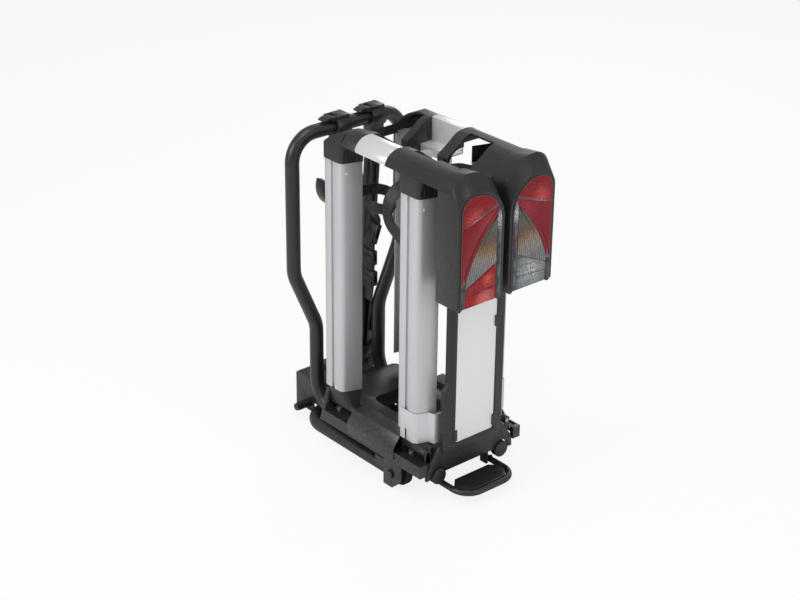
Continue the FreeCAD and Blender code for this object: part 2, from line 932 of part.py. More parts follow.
# Folded cover between the two hinge troughs; it hooks over the channel wall.
cover = new_body("cover_body")
cover_in = s.deck_half_width + 1.5
cw = s.cover_wall
pad(
    cover, "cover_block", "XZ",
    [
        (-s.cover_x, s.cover_bottom), (-cover_in, s.cover_bottom + 20), (-cover_in, s.cover_top),
        (-s.cover_edge_x, s.cover_top), (-s.cover_x, s.cover_crease_z),
    ],
    s.cover_back, s.cover_front,
)
pocket(
    cover, "cover_hollow", "XZ",
    [
        (-s.cover_x + cw, s.cover_bottom - 5), (-cover_in - cw, s.cover_bottom - 5),
        (-cover_in - cw, s.cover_top - cw),
        (-s.cover_edge_x + cw * 0.4, s.cover_top - cw), (-s.cover_x + cw, s.cover_crease_z + cw * 0.4),
    ],
    s.cover_back - 1, s.cover_front + 1,
)
node("hinge_covers", group("hinge_covers", [cover, mirror("far_cover", cover)]))

# Moulded deck tray with a round-cornered opening.
deck = new_body("deck_body")
dh = s.deck_half_width
deck_skin = s.deck_top - 3.5
deck_floor = floor_top
pad(
    deck, "deck_block", "XY",
    [(-dh, s.deck_back), (dh, s.deck_back), (dh, s.deck_front), (-dh, s.deck_front)],
    deck_floor, s.deck_top,
)
round_edges(
    deck, "deck_front_round", deck.Tip,
    [(sign * dh.value, s.deck_front.value) for sign in (-1, 1)], 2, 16,
)
pocket(
    deck, "deck_hollow", "XY",
    [
        (4 - dh, s.deck_back + 4), (dh - 4, s.deck_back + 4), (dh - 4, s.deck_front - 20),
        (dh - 20, s.deck_front - 4), (20 - dh, s.deck_front - 4), (4 - dh, s.deck_front - 20),
    ],
    deck_floor, deck_skin,
)
ox = s.deck_opening_x + 4
collar_back, collar_front = s.deck_opening_back - 4, s.deck_opening_front + 4
pad(
    deck, "deck_collar_block", "XY",
    [(-ox, collar_back), (ox, collar_back), (ox, collar_front), (-ox, collar_front)],
    s.deck_top - s.deck_collar, deck_skin,
)
ow = s.deck_opening_x
pocket(
    deck, "deck_opening", "XY",
    [
        (-ow, s.deck_opening_back), (ow, s.deck_opening_back), (ow, s.deck_opening_front),
        (-ow, s.deck_opening_front),
    ],
    s.deck_top - s.deck_collar, s.deck_top,
)
round_edges(
    deck, "deck_opening_rounds", deck.Tip,
    [
        (sign * ow.value, y)
        for sign in (-1, 1)
        for y in (s.deck_opening_back.value, s.deck_opening_front.value)
    ],
    2, s.deck_opening_round,
)
node("deck", deck)

# Rear panel: flared mudguard below, and the neck that carries the plate holder.
panel = new_body("rear_panel_body")
panel_front = s.panel_back + s.panel_thickness
fx, nx = s.panel_flare_x, s.panel_neck_x
cap_room = s.cap_diameter / 2 + 2.5
pad(
    panel, "panel_face", "XZ",
    [
        (-nx + 12, s.panel_bottom), (nx - 12, s.panel_bottom), (fx + 2, s.panel_bottom - 9),
        (fx, s.panel_bottom + 18), (nx + 10, s.panel_shoulder), (nx, s.panel_shoulder + 8),
        (nx, s.panel_neck_top), (-nx, s.panel_neck_top),
        (-nx, s.panel_shoulder + 8), (-nx - 10, s.panel_shoulder), (-fx, s.panel_bottom + 18),
        (-fx - 2, s.panel_bottom - 9),
    ],
    s.panel_back, panel_front,
)
for side, sign in (("near", -1), ("far", 1)):
    middle = s.stud_x * sign
    pocket(
        panel, f"stud_slot_{side}", "XZ",
        [
            (middle - 5, s.stud_z - 5), (middle + 5, s.stud_z - 5),
            (middle + 5, s.stud_z + s.holder_travel + 6), (middle - 5, s.stud_z + s.holder_travel + 6),
        ],
        s.panel_back, panel_front,
    )
cap_arches = group(
    "cap_arches",
    [
        rod(f"cap_arch_{side}", "y", cap_room * 2, s.panel_back - 5, panel_front + 5,
            x=s.main_tube_x * sign, z=s.main_tube_z)
        for side, sign in (("near", -1), ("far", 1))
    ],
)
node("rear_panel", cut("rear_panel", panel, cap_arches))

# Tilt pivot: five-sided plates under the channels.
pivot = new_body("pivot_body")
pad(
    pivot, "pivot_outline", "YZ",
    [
        (s.pivot_plate_front, s.channel_bottom), (s.pivot_plate_front, s.pivot_plate_foot),
        (s.axle_y - 6, s.pivot_plate_foot), (s.pivot_plate_back, s.pivot_plate_heel),
        (s.pivot_plate_back, s.channel_bottom),
    ],
    out, out + wall + 1,
)
pad(
    pivot, "pivot_tab", "YZ",
    [
        (s.pivot_plate_front, s.channel_bottom - 1), (s.pivot_plate_back, s.channel_bottom - 1),
        (s.pivot_plate_back, floor_bottom), (s.pivot_plate_front, floor_bottom),
    ],
    out + wall, out + wall + 3,
)
pivot_bore = rod(
    "pivot_bore", "x", s.axle_diameter + s.bore_gap, out - 5, out + wall + 5, y=s.axle_y, z=s.wheel_radius,
)
near_pivot = cut("near_pivot", pivot, pivot_bore)
node("pivot_plates", group("pivot_plates", [near_pivot, mirror("far_pivot", near_pivot)]))

fastener_set = group("near_fasteners", near_bolts + near_pins)
node(
    "platform_fasteners",
    group("platform_fasteners", [fastener_set, mirror("far_fasteners", fastener_set)]),
)

# Pedal

ear_x = s.pedal_x - s.pedal_diameter / 2 - s.running_gap
near_ear = fuse(
    "near_pedal_ear",
    [
        box("pedal_ear", (-ear_x, -ear_x + 5), (s.pedal_pin_y - 8, s.axle_y - 50 - s.beam_width / 2),
            (s.pedal_z - 8, beam_top)),
        rod("pedal_pin", "x", s.hinge_pin, -s.pedal_x - 11, -ear_x + 3, y=s.pedal_pin_y, z=s.pedal_z),
    ],
)
node("pedal_ears", group("pedal_ears", [near_ear, mirror("far_pedal_ear", near_ear)]))


def pedal_bar():
    """Bent round bar with an eye at each end."""
    x, z = s.pedal_x.value, s.pedal_z.value
    radius = s.pedal_diameter.value / 2
    front, back = s.pedal_pin_y.value + radius + 1, s.pedal_back.value + radius
    bend = s.pedal_bend.value
    path = rounded_path([(-x, front, z), (-x, back, z), (x, back, z), (x, front, z)], [bend, bend])
    bar = round_bar(path, s.pedal_diameter.value)
    bore = (s.hinge_pin.value + s.bore_gap.value) / 2
    hole = Part.makeCylinder(bore, 4 * x, Vector(-2 * x, s.pedal_pin_y.value, z), Vector(1, 0, 0))
    return bar.cut(hole)


node("pedal_bar", free_form("pedal_bar", pedal_bar()))

pedal_pad = new_body("pedal_pad_body")
pp_x = s.pedal_x - s.pedal_diameter / 2 - s.seat_gap
pp_back = s.pedal_back + s.pedal_diameter + s.seat_gap
pp_front = pp_back + s.pedal_pad_depth
pp_round = s.pedal_bend - s.pedal_diameter / 2 + s.seat_gap
round_far = [
    (pp_x - pp_round * (1 - math.cos(math.radians(a))), pp_back + pp_round * (1 - math.sin(math.radians(a))))
    for a in (90, 67.5, 45, 22.5, 0)
]
round_near = [(-x, y) for x, y in reversed(round_far)]
pad(
    pedal_pad, "tread_block", "XY",
    round_near + round_far + [
        (pp_x, pp_front - 18), (pp_x - 18, pp_front), (18 - pp_x, pp_front), (-pp_x, pp_front - 18),
    ],
    s.pedal_z - 6, s.pedal_z + 5,
)
groove = sketch(
    pedal_pad, "tread_groove_outline", "XY",
    [
        (25 - pp_x, pp_back + 8), (pp_x - 25, pp_back + 8), (pp_x - 25, pp_back + 11),
        (25 - pp_x, pp_back + 11),
    ],
    s.pedal_z + 5,
)
grooving = pedal_pad.newObject("PartDesign::Pocket", "tread_groove")
grooving.Profile = groove
grooving.Length = 2
doc.recompute()
rows = pedal_pad.newObject("PartDesign::LinearPattern", "tread_grooves")
rows.Originals = [grooving]
rows.Direction = (groove, ["V_Axis"])
rows.Occurrences = 7
rows.Length = 42
pedal_pad.Tip = rows
doc.recompute()
node("pedal_pad", pedal_pad)


# Wings: the near one is drawn, the far one mirrors it.

def wing_node(name, obj):
    node(f"{name}_near", obj)
    node(f"{name}_far", mirror(f"{name}_far", obj))


rail_top = s.corner_bottom + s.rail_plug


def rail(name, y):
    """Wheel channel, open inwards, with a T-slot in its flat outer face."""
    body = new_body(name + "_body")
    half_base, half_mouth = s.rail_base / 2, s.rail_mouth / 2
    mouth_x = -s.rail_x + s.rail_depth
    inner_x = -s.rail_x + s.rail_wall
    core_x = -s.rail_x + s.rail_core
    inner_mouth, inner_base = half_mouth - s.rail_wall - 0.1, half_base - s.rail_wall * 0.75
    pad(
        body, name + "_section", "XY",
        [
            (mouth_x, y + half_mouth), (-s.rail_x, y + half_base), (-s.rail_x, y + s.slot_width / 2),
            (-s.rail_x + s.slot_depth, y + s.slot_width / 2),
            (-s.rail_x + s.slot_depth, y - s.slot_width / 2),
            (-s.rail_x, y - s.slot_width / 2), (-s.rail_x, y - half_base), (mouth_x, y - half_mouth),
            (mouth_x, y - inner_mouth), (inner_x, y - inner_base), (inner_x, y - 11), (core_x, y - 8),
            (core_x, y + 8), (inner_x, y + 11), (inner_x, y + inner_base), (mouth_x, y + inner_mouth),
        ],
        s.rail_bottom, rail_top,
    )
    corners = [(inner_x, y + inner_base), (inner_x, y - inner_base)]
    round_edges(body, name + "_inner_rounds", body.Tip, corners, 2, s.rail_round - s.rail_wall)
    corners = [(-s.rail_x, y + half_base), (-s.rail_x, y - half_base)]
    round_edges(body, name + "_outer_rounds", body.Tip, corners, 2, s.rail_round)
    return body


front_rail = rail("front_rail", front_y)
rear_rail = rail("rear_rail", rear_y)
wing_node("front_rail", front_rail)
wing_node("rear_rail", rear_rail)


def rail_foot(y, back, shoulder):
    """Moulded foot: a plug in the rail's end, and a long hinge knuckle under it."""
    x, bottom = s.rail_x.value - 0.5, s.rail_bottom.value
    mouth = s.rail_x.value - s.rail_depth.value
    base, half_mouth = s.rail_base.value / 2, s.rail_mouth.value / 2
    hx, hz, r = s.hinge_x.value, s.hinge_z.value, s.knuckle_radius.value
    front = y + s.foot_reach.value
    low_half = r - 0.6
    outline = [
        (-x, y - base + 9), (-x, front), (-mouth, front), (-mouth, y - half_mouth + 0.5),
        (-x + 9.5, y - base - 2.5),
    ]
    knuckle = [
        (-hx - low_half, back + 6), (-hx - low_half, front), (-hx + low_half, front),
        (-hx + low_half, back + 1), (-hx - low_half + 4, back + 1),
    ]

    def ring(points, z):
        corners = [Vector(px, py, z) for px, py in points]
        return Part.makePolygon(corners + [corners[0]])

    wedge = Part.makeLoft([ring(knuckle, hz), ring(outline, shoulder)], True, True)
    inner = -s.rail_x.value + s.rail_core.value + s.seat_gap.value
    plug = block((inner, -mouth - 6), (y - 20, y + 20), (bottom - 1, bottom + 26))
    barrel = Part.makeCylinder(r, front - back, Vector(-hx, back, hz), Vector(0, 1, 0))
    solid = wedge.fuse([barrel, plug])
    if bottom - shoulder > 0.1:
        solid = solid.fuse(Part.Face(ring(outline, shoulder)).extrude(Vector(0, 0, bottom - shoulder)))
    bore = (s.hinge_pin.value + s.bore_gap.value) / 2
    hole = Part.makeCylinder(bore, front - back + 20, Vector(-hx, back - 10, hz), Vector(0, 1, 0))
    return solid.cut(hole)


near_feet = free_form(
    "near_feet",
    Part.makeCompound([
        rail_foot(front_y.value, (front_y - s.foot_back).value, s.rail_bottom.value),
        rail_foot(rear_y.value, (rear_y - s.rear_foot_back).value, s.bracket_bottom.value - 0.7),
    ]),
)
wing_node("rail_feet", near_feet)


def end_outline(inset):
    """Front view of a wing end: outer wall, round shoulder and crest, drawn at an inset."""
    face, crest = s.wing_face.value - inset, s.crest_z.value - inset
    shoulder = s.shoulder_z.value
    through = (-face + (s.wing_face.value - s.crest_x.value) * 0.29, shoulder + (crest - shoulder) * 0.71)
    return [(-face, s.corner_bottom.value - 20), (-face, shoulder), (through, (-s.crest_x.value, crest))]


def hood_prism(inset, low, high):
    """A wing end's whole section: over the crest, and down a convex rim to a blunt inner edge."""
    outline = end_outline(inset)
    crest_x, crest = s.crest_x.value, s.crest_z.value - inset
    edge_x, edge = -s.gutter_edge_x.value - inset, s.gutter_edge_z.value - inset
    through = (-crest_x * 0.77, edge + (crest - edge) * 0.91)
    slope_start = (-crest_x * 0.56, edge + (crest - edge) * 0.6)
    rim = [(through, slope_start), (edge_x, edge), (edge_x, outline[0][1])]
    return prism(outline + rim, "XZ", low, high)


def open_gutter(low, high):
    """Room over the gutter, open inwards, upwards and downwards behind the crest."""
    x, top, bottom = -s.crest_x.value + 6, s.crest_z.value + 40, s.corner_bottom.value - 20
    return block((x, 10), (low, high), (bottom, top))


def rail_plan(y, growth, low, high):
    """The rail's outline in plan, grown by the given (base, mouth) margins."""
    x, mouth = s.rail_x.value + growth[2], s.rail_x.value - s.rail_depth.value - growth[2]
    base, half = s.rail_base.value / 2 + growth[0], s.rail_mouth.value / 2 + growth[1]
    solid = prism([(-x, y - base), (-mouth, y - half), (-mouth, y + half), (-x, y + base)], "XY", low, high)
    edges = [
        e for e in solid.Edges
        if abs(e.Vertexes[0].X + x) < 0.01 and abs(e.Vertexes[-1].X + x) < 0.01
        and abs(e.Vertexes[0].Z - e.Vertexes[-1].Z) > 1
    ]
    return solid.makeFillet(s.rail_round.value, edges)


def rail_socket(y):
    """The rail's end with a fitting gap, to be cut from a corner piece."""
    gap = s.seat_gap.value
    low, high = s.corner_bottom.value - 25, rail_top.value + gap
    return rail_plan(y, (gap * 1.5, gap * 1.5, gap), low, high)


def flared_prism(y, inset, low, high):
    """Plan of a corner piece: round outer corners that flare out around the rail."""
    face, crest = s.wing_face.value - inset, s.crest_x.value
    base, half = s.rail_base.value / 2 + 1.7 - inset, s.rail_mouth.value / 2 + 2.5 - inset
    wall_half = s.gutter_half.value + s.corner_wall.value - inset
    points = [
        (-face, y - base), (-crest + 3, y - half), (-crest + 10, y - wall_half), (-10, y - wall_half),
        (-10, y + wall_half), (-crest + 10, y + wall_half), (-crest + 3, y + half), (-face, y + base),
    ]
    solid = prism(points, "XY", low, high)
    edges = [
        e for e in solid.Edges
        if abs(e.Vertexes[0].X + face) < 0.01 and abs(e.Vertexes[-1].X + face) < 0.01
        and abs(e.Vertexes[0].Z - e.Vertexes[-1].Z) > 1
    ]
    return solid.makeFillet(s.rail_round.value + 1, edges)


def corner_room(y, arm_end, far_end, inset):
    """Where a corner piece may stand: the flared rail plan, the arm above it and the inner hood."""
    low, high = s.corner_bottom.value - 30, s.crest_z.value + 40
    edge = s.profile_edge_z.value
    arm = block((-200, 10), sorted((arm_end, y)), (edge, high))
    inner = block((-s.crest_x.value + 2, 10), sorted((arm_end, y)), (low, edge + 1))
    room = flared_prism(y, inset, low, high).fuse([arm, inner])
    if far_end is not None:
        far_arm = block((-200, 10), sorted((far_end, y)), (edge, high))
        far_inner = block((-s.crest_x.value + 2, 10), sorted((far_end, y)), (low, edge + 1))
        room = room.fuse([far_arm, far_inner])
    return room


def dome_prism(inset, low, high):
    """Side view of the front corner's top, which falls off towards the vehicle."""
    y, crest = s.front_rail_y.value, s.crest_z.value - inset
    half = s.rail_mouth.value / 2 + 3
    bottom = s.corner_bottom.value - 30
    start = y - 52
    points = [
        (low, bottom), (low, crest + 1), (start, crest + 1),
        ((y, crest - s.dome_drop.value), (y + half, crest - s.dome_fall.value)),
        (high, crest - s.dome_fall.value - 3),
        (high, bottom),
    ]
    return prism(points, "YZ", -s.wing_face.value - 20, 20)


def flank_recess(y):
    """Shallow arched recess with four ribs, in the rear flank above the rail."""
    low, inner, outer = s.corner_bottom.value, s.crest_x.value + 3, s.wing_face.value - 7
    middle = (inner + outer) / 2
    rise = (s.profile_edge_z.value - low) * 0.72
    arched = prism([(-outer, low - 1), ((-middle, low + rise), (-inner, low - 1))], "XZ", y - 60, y + 60)
    for k in range(1, 5):
        x = -outer + (outer - inner) * k / 5
        arched = arched.cut(block((x - 1.2, x + 1.2), (y - 70, y + 70), (low - 5, low + 50)))
    body = flared_prism(y, 0, low - 30, low + 60)
    body.translate(Vector(0, 1.4, 0))
    half = block((-200, 10), (y - 60, y), (low - 5, low + 50))
    return arched.common(half).cut(body)


def front_corner():
    """Moulded end of the front rail, joined to the cross profile by a short arm."""
    y, t, half = front_y.value, s.corner_wall.value, s.gutter_half.value
    back = s.front_corner_back.value
    low = s.corner_bottom.value
    solid = hood_prism(0, back, y + 60).common(corner_room(y, back - 5, None, 0))
    solid = solid.common(dome_prism(0, back - 5, y + 70))
    solid = solid.cut(block((-200, 10), (back - 5, y + 80), (low - 60, low)))
    hollow = hood_prism(t, back + t, y + half).common(corner_room(y, back, None, 2.6))
    hollow = hollow.common(dome_prism(t, back, y + 70))
    solid = solid.cut(hollow).cut(open_gutter(back + s.hood_band.value, y + half))
    return solid.cut(flank_recess(y)).cut(rail_socket(y)).removeSplitter()


wing_node("front_corner", free_form("near_front_corner", front_corner()))


light_face = -s.half_length + s.lens_proud
light_front = light_face + s.light_depth


def arch(y, margin, foot, shoulder, crest, end):
    """Outline of the light, round at the top, at one place along Y."""
    x0 = -s.wing_face.value + margin
    x1 = -s.light_inner_x.value - margin
    low = s.light_bottom.value + foot
    top = -s.crest_x.value
    left = Vector(x0 + (top - x0) * 0.27, y, shoulder + (crest - shoulder) * 0.73)
    right = Vector(top + (x1 - top) * 0.68, y, end + (crest - end) * 0.71)
    points = [Vector(x0, y, low), Vector(x0, y, shoulder), Vector(top, y, crest), Vector(x1, y, end),
              Vector(x1, y, low)]
    return Part.Wire([
        Part.LineSegment(points[0], points[1]).toShape(),
        Part.Arc(points[1], left, points[2]).toShape(),
        Part.Arc(points[2], right, points[3]).toShape(),
        Part.LineSegment(points[3], points[4]).toShape(),
        Part.LineSegment(points[4], points[0]).toShape(),
    ])


def face_arch(y, margin, foot):
    """The arch at the lens plane, shrunk by a margin and raised at its foot."""
    shoulder, crest, end = s.lens_shoulder_z.value, s.lens_crest_z.value, s.lens_end_z.value
    return arch(y, margin, foot, shoulder - margin * 0.2, crest - margin, end - margin * 0.4)


def light_shell(margin, front, back):
    """The lamp box: it rises a little to a crest and drops to the lens plane."""
    crest_y, crest_z = light_face.value + s.light_crest_reach.value, s.light_crest_z.value
    shoulder, end = s.shoulder_z.value, s.lamp_end_z.value
    first = arch(front, margin, margin, shoulder, s.crest_z.value + 2 - margin, end)
    middle = arch(crest_y, margin, margin, shoulder + 2, crest_z - margin, end - 3)
    last = face_arch(back, margin, margin)
    solid = Part.makeLoft([first, middle], True, True)
    return solid.fuse(Part.makeLoft([middle, last], True, True))


def light_housing():
    """One moulding: arm, rear gutter, and the deep box of the rear light."""
    y, t = rear_y.value, s.corner_wall.value
    front, lamp_front = s.light_corner_front.value, light_front.value
    low = s.corner_bottom.value
    face = light_face.value
    gutter_back = y - s.gutter_half.value - 2
    solid = hood_prism(0, lamp_front - 1, front).common(corner_room(y, front + 5, lamp_front - 5, 0))
    solid = solid.cut(block((-200, 10), (lamp_front - 5, front + 5), (low - 60, low)))
    hollow = hood_prism(t, gutter_back, front - t).common(corner_room(y, front, gutter_back - 1, 2.6))
    opening = open_gutter(y - s.gutter_rear_reach.value, front - s.rear_hood_band.value)
    solid = solid.cut(hollow).cut(opening)
    wheel_arch_top = s.profile_edge_z.value - 10
    inner_x = -s.crest_x.value + 2
    wheel_arch = prism(
        [
            (inner_x, low - 20), (inner_x, wheel_arch_top),
            ((inner_x * 0.7, wheel_arch_top - 5), (inner_x * 0.48, low)), (inner_x * 0.48, low - 20),
        ],
        "XZ", front - t - 1, front + 1,
    )
    core = hood_prism(t, lamp_front + t, gutter_back - t)
    core_end = -s.gutter_edge_x.value - 24
    core = core.cut(block((core_end, 10), (lamp_front, gutter_back), (low - 60, low + 100)))
    solid = solid.cut(wheel_arch).cut(core).fuse(light_shell(0, lamp_front, face))
    wall = s.light_wall.value
    hollow = light_shell(wall, lamp_front - wall, face + s.lens_depth.value + 2)
    seat = Part.Face(face_arch(face - 1, s.lens_margin.value - s.seat_gap.value, -1))
    solid = solid.cut(hollow).cut(seat.extrude(Vector(0, s.lens_depth.value + 5, 0)))
    return solid.cut(flank_recess(y)).cut(rail_socket(y)).removeSplitter()


wing_node("light_housing", free_form("near_light_housing", light_housing()))


def lens():
    """Clear cap that fills the rear opening of the housing."""
    margin, t, depth = s.lens_margin.value, s.lens_wall.value, s.lens_depth.value
    back = -s.half_length.value
    outer = Part.Face(face_arch(back, margin, 0)).extrude(Vector(0, depth, 0))
    inner = Part.Face(face_arch(back + t, margin + t, t)).extrude(Vector(0, depth, 0))
    return outer.cut(inner)


wing_node("lens", free_form("near_lens", lens()))


def lamp_tray():
    """Reflector plate behind the lens with three lamp sockets."""
    margin = s.lens_margin.value + 1.5
    back = -s.half_length.value + s.lens_depth.value + 0.5
    plate = Part.Face(face_arch(back, margin, s.lens_wall.value + 1.5)).extrude(Vector(0, 2, 0))
    for z in (540, 615, 690):
        socket = Part.makeCylinder(11, 12, Vector(-70, back - 8, z), Vector(0, 1, 0))
        bore = Part.makeCylinder(8.5, 16, Vector(-70, back - 10, z), Vector(0, 1, 0))
        plate = plate.fuse(socket).cut(bore)
    return plate


wing_node("lamp_tray", free_form("near_lamp_tray", lamp_tray()))


def cross_profile():
    """Extruded profile between the two corners: curved skin, web, ledge and lip."""
    t = s.profile_wall.value
    face = s.wing_face.value - 2
    crest_x, crest_z = s.crest_x.value, s.crest_z.value
    edge, shoulder = s.profile_edge_z.value, s.shoulder_z.value + 10
    ledge, lip_x = s.profile_ledge_z.value, s.profile_lip_x.value
    outer = (-face + (face - crest_x) * 0.29, shoulder + (crest_z - shoulder) * 0.71)
    inner = (-face + t + (face - crest_x) * 0.29, shoulder + (crest_z - t - shoulder) * 0.71 - 1)
    points = [
        (-face, edge), (-face, shoulder), (outer, (-crest_x, crest_z)), (-crest_x + t, crest_z),
        (-crest_x + t, ledge + t), (-lip_x + t, ledge + t), (-lip_x + t, ledge - 16), (-lip_x, ledge - 16),
        (-lip_x, ledge), (-crest_x, ledge), (-crest_x, crest_z - t), (inner, (-face + t, shoulder)),
        (-face + t, edge),
    ]
    front, back = s.front_corner_back.value, s.light_corner_front.value
    return prism(points, "XZ", back, front)


wing_node("cross_profile", free_form("near_cross_profile", cross_profile()))


def sheet_bracket():
    """Bent sheet that wraps the rear rail's foot and carries a flange behind the panel."""
    x, y = -s.rail_x.value, s.rear_rail_y.value
    t, gap = s.bracket_thickness.value, 0.2
    inner = [(x - gap, y + 16.5), (x - gap, y - 24.8), (x + 5.5, y - 32.5), (x + 28, y - 39.6),
             (x + 33, y - 55), (x + 61, y - 55)]
    outer = [(x + 61, y - 55 - t), (x + 31.6, y - 55 - t), (x + 26.4, y - 41.1), (x + 4.3, y - 34.2),
             (x - gap - t, y - 25.4), (x - gap - t, y + 16.5)]
    low = s.bracket_bottom.value
    sheet_piece = prism(inner + outer, "XY", low, low + s.bracket_height.value)
    slot = block((x - 8, x + 2), (y - 4, y + 1), (low - 1, low + 26))
    return sheet_piece.cut(slot)


wing_node("sheet_bracket", free_form("near_sheet_bracket", sheet_bracket()))


def side_rivet(y):
    """Rivet head that sits square on the rail's flared flank."""
    run, rise = s.rail_depth.value, (s.rail_mouth.value - s.rail_base.value) / 2
    reach = math.hypot(run, rise)
    out_way = Vector(-rise / reach, -run / reach, 0)
    share = 0.27
    place = Vector(
        -s.rail_x.value + run * share, y - s.rail_base.value / 2 - rise * share, s.corner_bottom.value - 24
    )
    head = Part.makeCylinder(3.5, 1.2, place, out_way)
    return head.fuse(Part.makeCylinder(2.2, 1.9, place, out_way)).removeSplitter()


def foot_rivet(y):
    """Rivet head low on the rail's flat outer face."""
    place = Vector(-s.rail_x.value, y, s.rail_bottom.value + 5)
    head = Part.makeCylinder(3.2, 1, place, Vector(-1, 0, 0))
    return head.fuse(Part.makeCylinder(2, 1.6, place, Vector(-1, 0, 0))).removeSplitter()


rivet_heads = [side_rivet(front_y.value), side_rivet(rear_y.value)]
rivet_heads += [foot_rivet(front_y.value + step) for step in (-11, 11)]
wing_node("rivets", free_form("near_rivets", Part.makeCompound(rivet_heads)))


def band(stations, width, thickness):
    """Flat strap along a smooth line: each station is a place and the way its width runs."""
    line = Part.BSplineCurve()
    line.interpolate([Vector(*place) for place, across in stations])
    marks = [line.parameter(Vector(*place)) for place, across in stations]
    marks[0], marks[-1] = line.FirstParameter, line.LastParameter
    steps = 4
    sections = []
    for i in range(len(stations) - 1):
        for k in range(steps + (i == len(stations) - 2)):
            share = k / steps
            mark = marks[i] + (marks[i + 1] - marks[i]) * share
            along = line.tangent(mark)[0]
            blend = Vector(*stations[i][1]) * (1 - share) + Vector(*stations[i + 1][1]) * share
            up = along.cross(blend).normalize()
            side = up.cross(along) * (width / 2)
            up = up * (thickness / 2)
            middle = line.value(mark)
            corners = [middle - side - up, middle + side - up, middle + side + up, middle - side + up]
            sections.append(Part.makePolygon(corners + [corners[0]]))
    return Part.makeLoft(sections, True, True)


STRAP_WIDTH = 24
STRAP_THICKNESS = 2.6


def buckle(place, turn, length, width, height):
    """Ratchet buckle with a slot for its strap and a lever plate, turned about Y and placed."""
    frame = block((-length / 2, length / 2), (-width / 2, width / 2), (-height / 2, height / 2))
    frame = frame.cut(block((-length / 5, length / 4), (-width, width), (-height / 5, height / 5)))
    lever_plate = block(
        (-length / 2 - 7, length / 6), (-width / 2 + 3, width / 2 - 3), (height / 2 - 1, height / 2 + 3)
    )
    slot_half = STRAP_THICKNESS / 2 + 1.4
    slot = block((-length, length), (-STRAP_WIDTH / 2 - 1, STRAP_WIDTH / 2 + 1), (-slot_half, slot_half))
    shape = frame.fuse(lever_plate).cut(slot)
    shape.rotate(Vector(), Vector(0, 1, 0), turn)
    shape.translate(Vector(*place))
    return shape


strap_root = -s.rail_x.value + s.rail_core.value + 0.9
upright, level = (0, 0, 1), (0, 1, 0)


def wheel_strap_front():
    """Toothed strap of the front rail: a loop across the gutter, and a tail that hangs down."""
    loop = band(
        [
            ((strap_root, 99, 612), upright), ((-100, 97, 613), upright), ((-70, 84, 618), upright),
            ((-34, 66, 620), upright), ((-16, 38, 614), upright), ((-30, 8, 606), upright),
            ((-58, -3, 600), upright), ((-76, 20, 602), upright), ((-78, 46, 604), upright),
        ],
        STRAP_WIDTH, STRAP_THICKNESS,
    )
    tail = band(
        [
            ((-78, 38, 603), level), ((-57, 38, 566), level), ((-67, 38, 535), level),
            ((-76, 38, 512), level), ((-74, 37, 484), level), ((-74, 37, 450), level),
            ((-74, 37, 430), level), ((-76, 42, 377), level),
        ],
        STRAP_WIDTH, STRAP_THICKNESS,
    )
    return loop.fuse(tail)


def wheel_strap_rear():
    """Strap of the rear rail: a wide band that bows out of the gutter and comes back lower down."""
    return band(
        [
            ((strap_root, -150, 690), upright), ((-98, -142, 690), upright), ((-76, -116, 688), upright),
            ((-68, -84, 684), (0, 0.2, 1)), ((-68, -46, 664), (0, 0.7, 1)), ((-70, -16, 622), (0, 1, 0.4)),
            ((-72, -22, 580), (0, 1, -0.5)), ((-70, -66, 552), (0, 0.5, -1)), ((-76, -116, 544), (0, 0, -1)),
            ((-98, -142, 542), (0, 0, -1)), ((strap_root, -150, 542), (0, 0, -1)),
        ],
        30, 3,
    )


def wheel_buckles():
    """Ratchet buckles on the hanging tail of the front strap."""
    upper = buckle((-67, 38, 535), -70, 44, 32, 13)
    middle = buckle((-74.5, 37, 481), -90, 34, 30, 15)
    lower = buckle((-74, 37, 432), -90, 34, 32, 15)
    return Part.makeCompound([upper, middle, lower])


wing_node("wheel_strap_front", free_form("near_wheel_strap_front", wheel_strap_front()))
wing_node("wheel_strap_rear", free_form("near_wheel_strap_rear", wheel_strap_rear()))
wing_node("wheel_buckles", free_form("near_wheel_buckles", wheel_buckles()))

# Number plate and its holder

holder = new_body("plate_holder_body")
holder_front = s.holder_back - s.holder_thickness
half_plate = s.plate_width / 2
hx = half_plate + s.holder_border
plate_top = s.plate_bottom + s.plate_length
holder_top = plate_top + s.holder_foot
holder_pad = pad(
    holder, "holder_face", "XZ",
    [
        (-hx, s.plate_bottom - s.holder_foot), (hx, s.plate_bottom - s.holder_foot), (hx, holder_top),
        (-hx, holder_top),
    ],
    holder_front, s.holder_back,
)
round_edges(
    holder, "holder_rounds", holder_pad,
    [(sign * hx.value, z.value) for sign in (-1, 1) for z in (s.plate_bottom - s.holder_foot, holder_top)],
    1, 16,
)
recess = s.seat_gap
pocket(
    holder, "plate_recess", "XZ",
    [
        (-half_plate - recess, s.plate_bottom - recess), (half_plate + recess, s.plate_bottom - recess),
        (half_plate + recess, plate_top + recess), (-half_plate - recess, plate_top + recess),
    ],
    holder_front, holder_front + 2.5,
)
rim = 5
pocket(
    holder, "holder_hollow", "XZ",
    [
        (-hx + rim, s.plate_bottom - s.holder_foot + rim), (hx - rim, s.plate_bottom - s.holder_foot + rim),
        (hx - rim, holder_top - rim), (-hx + rim, holder_top - rim),
    ],
    holder_front + 2.5 + s.holder_web, s.holder_back,
)
for side, sign, z in (
    ("near_low", -1, s.near_tab_z), ("far_low", 1, s.near_tab_z + 2), ("far_high", 1, s.high_tab_z),
):
    edge = (half_plate + recess + 4) * sign
    tip = (half_plate - 5) * sign
    low, high = (edge, tip) if sign < 0 else (tip, edge)
    pad(
        holder, f"plate_tab_{side}", "XZ",
        [(low, z - s.tab_half), (high, z - s.tab_half), (high, z + s.tab_half), (low, z + s.tab_half)],
        holder_front - 1.5, holder_front + 0.5,
    )
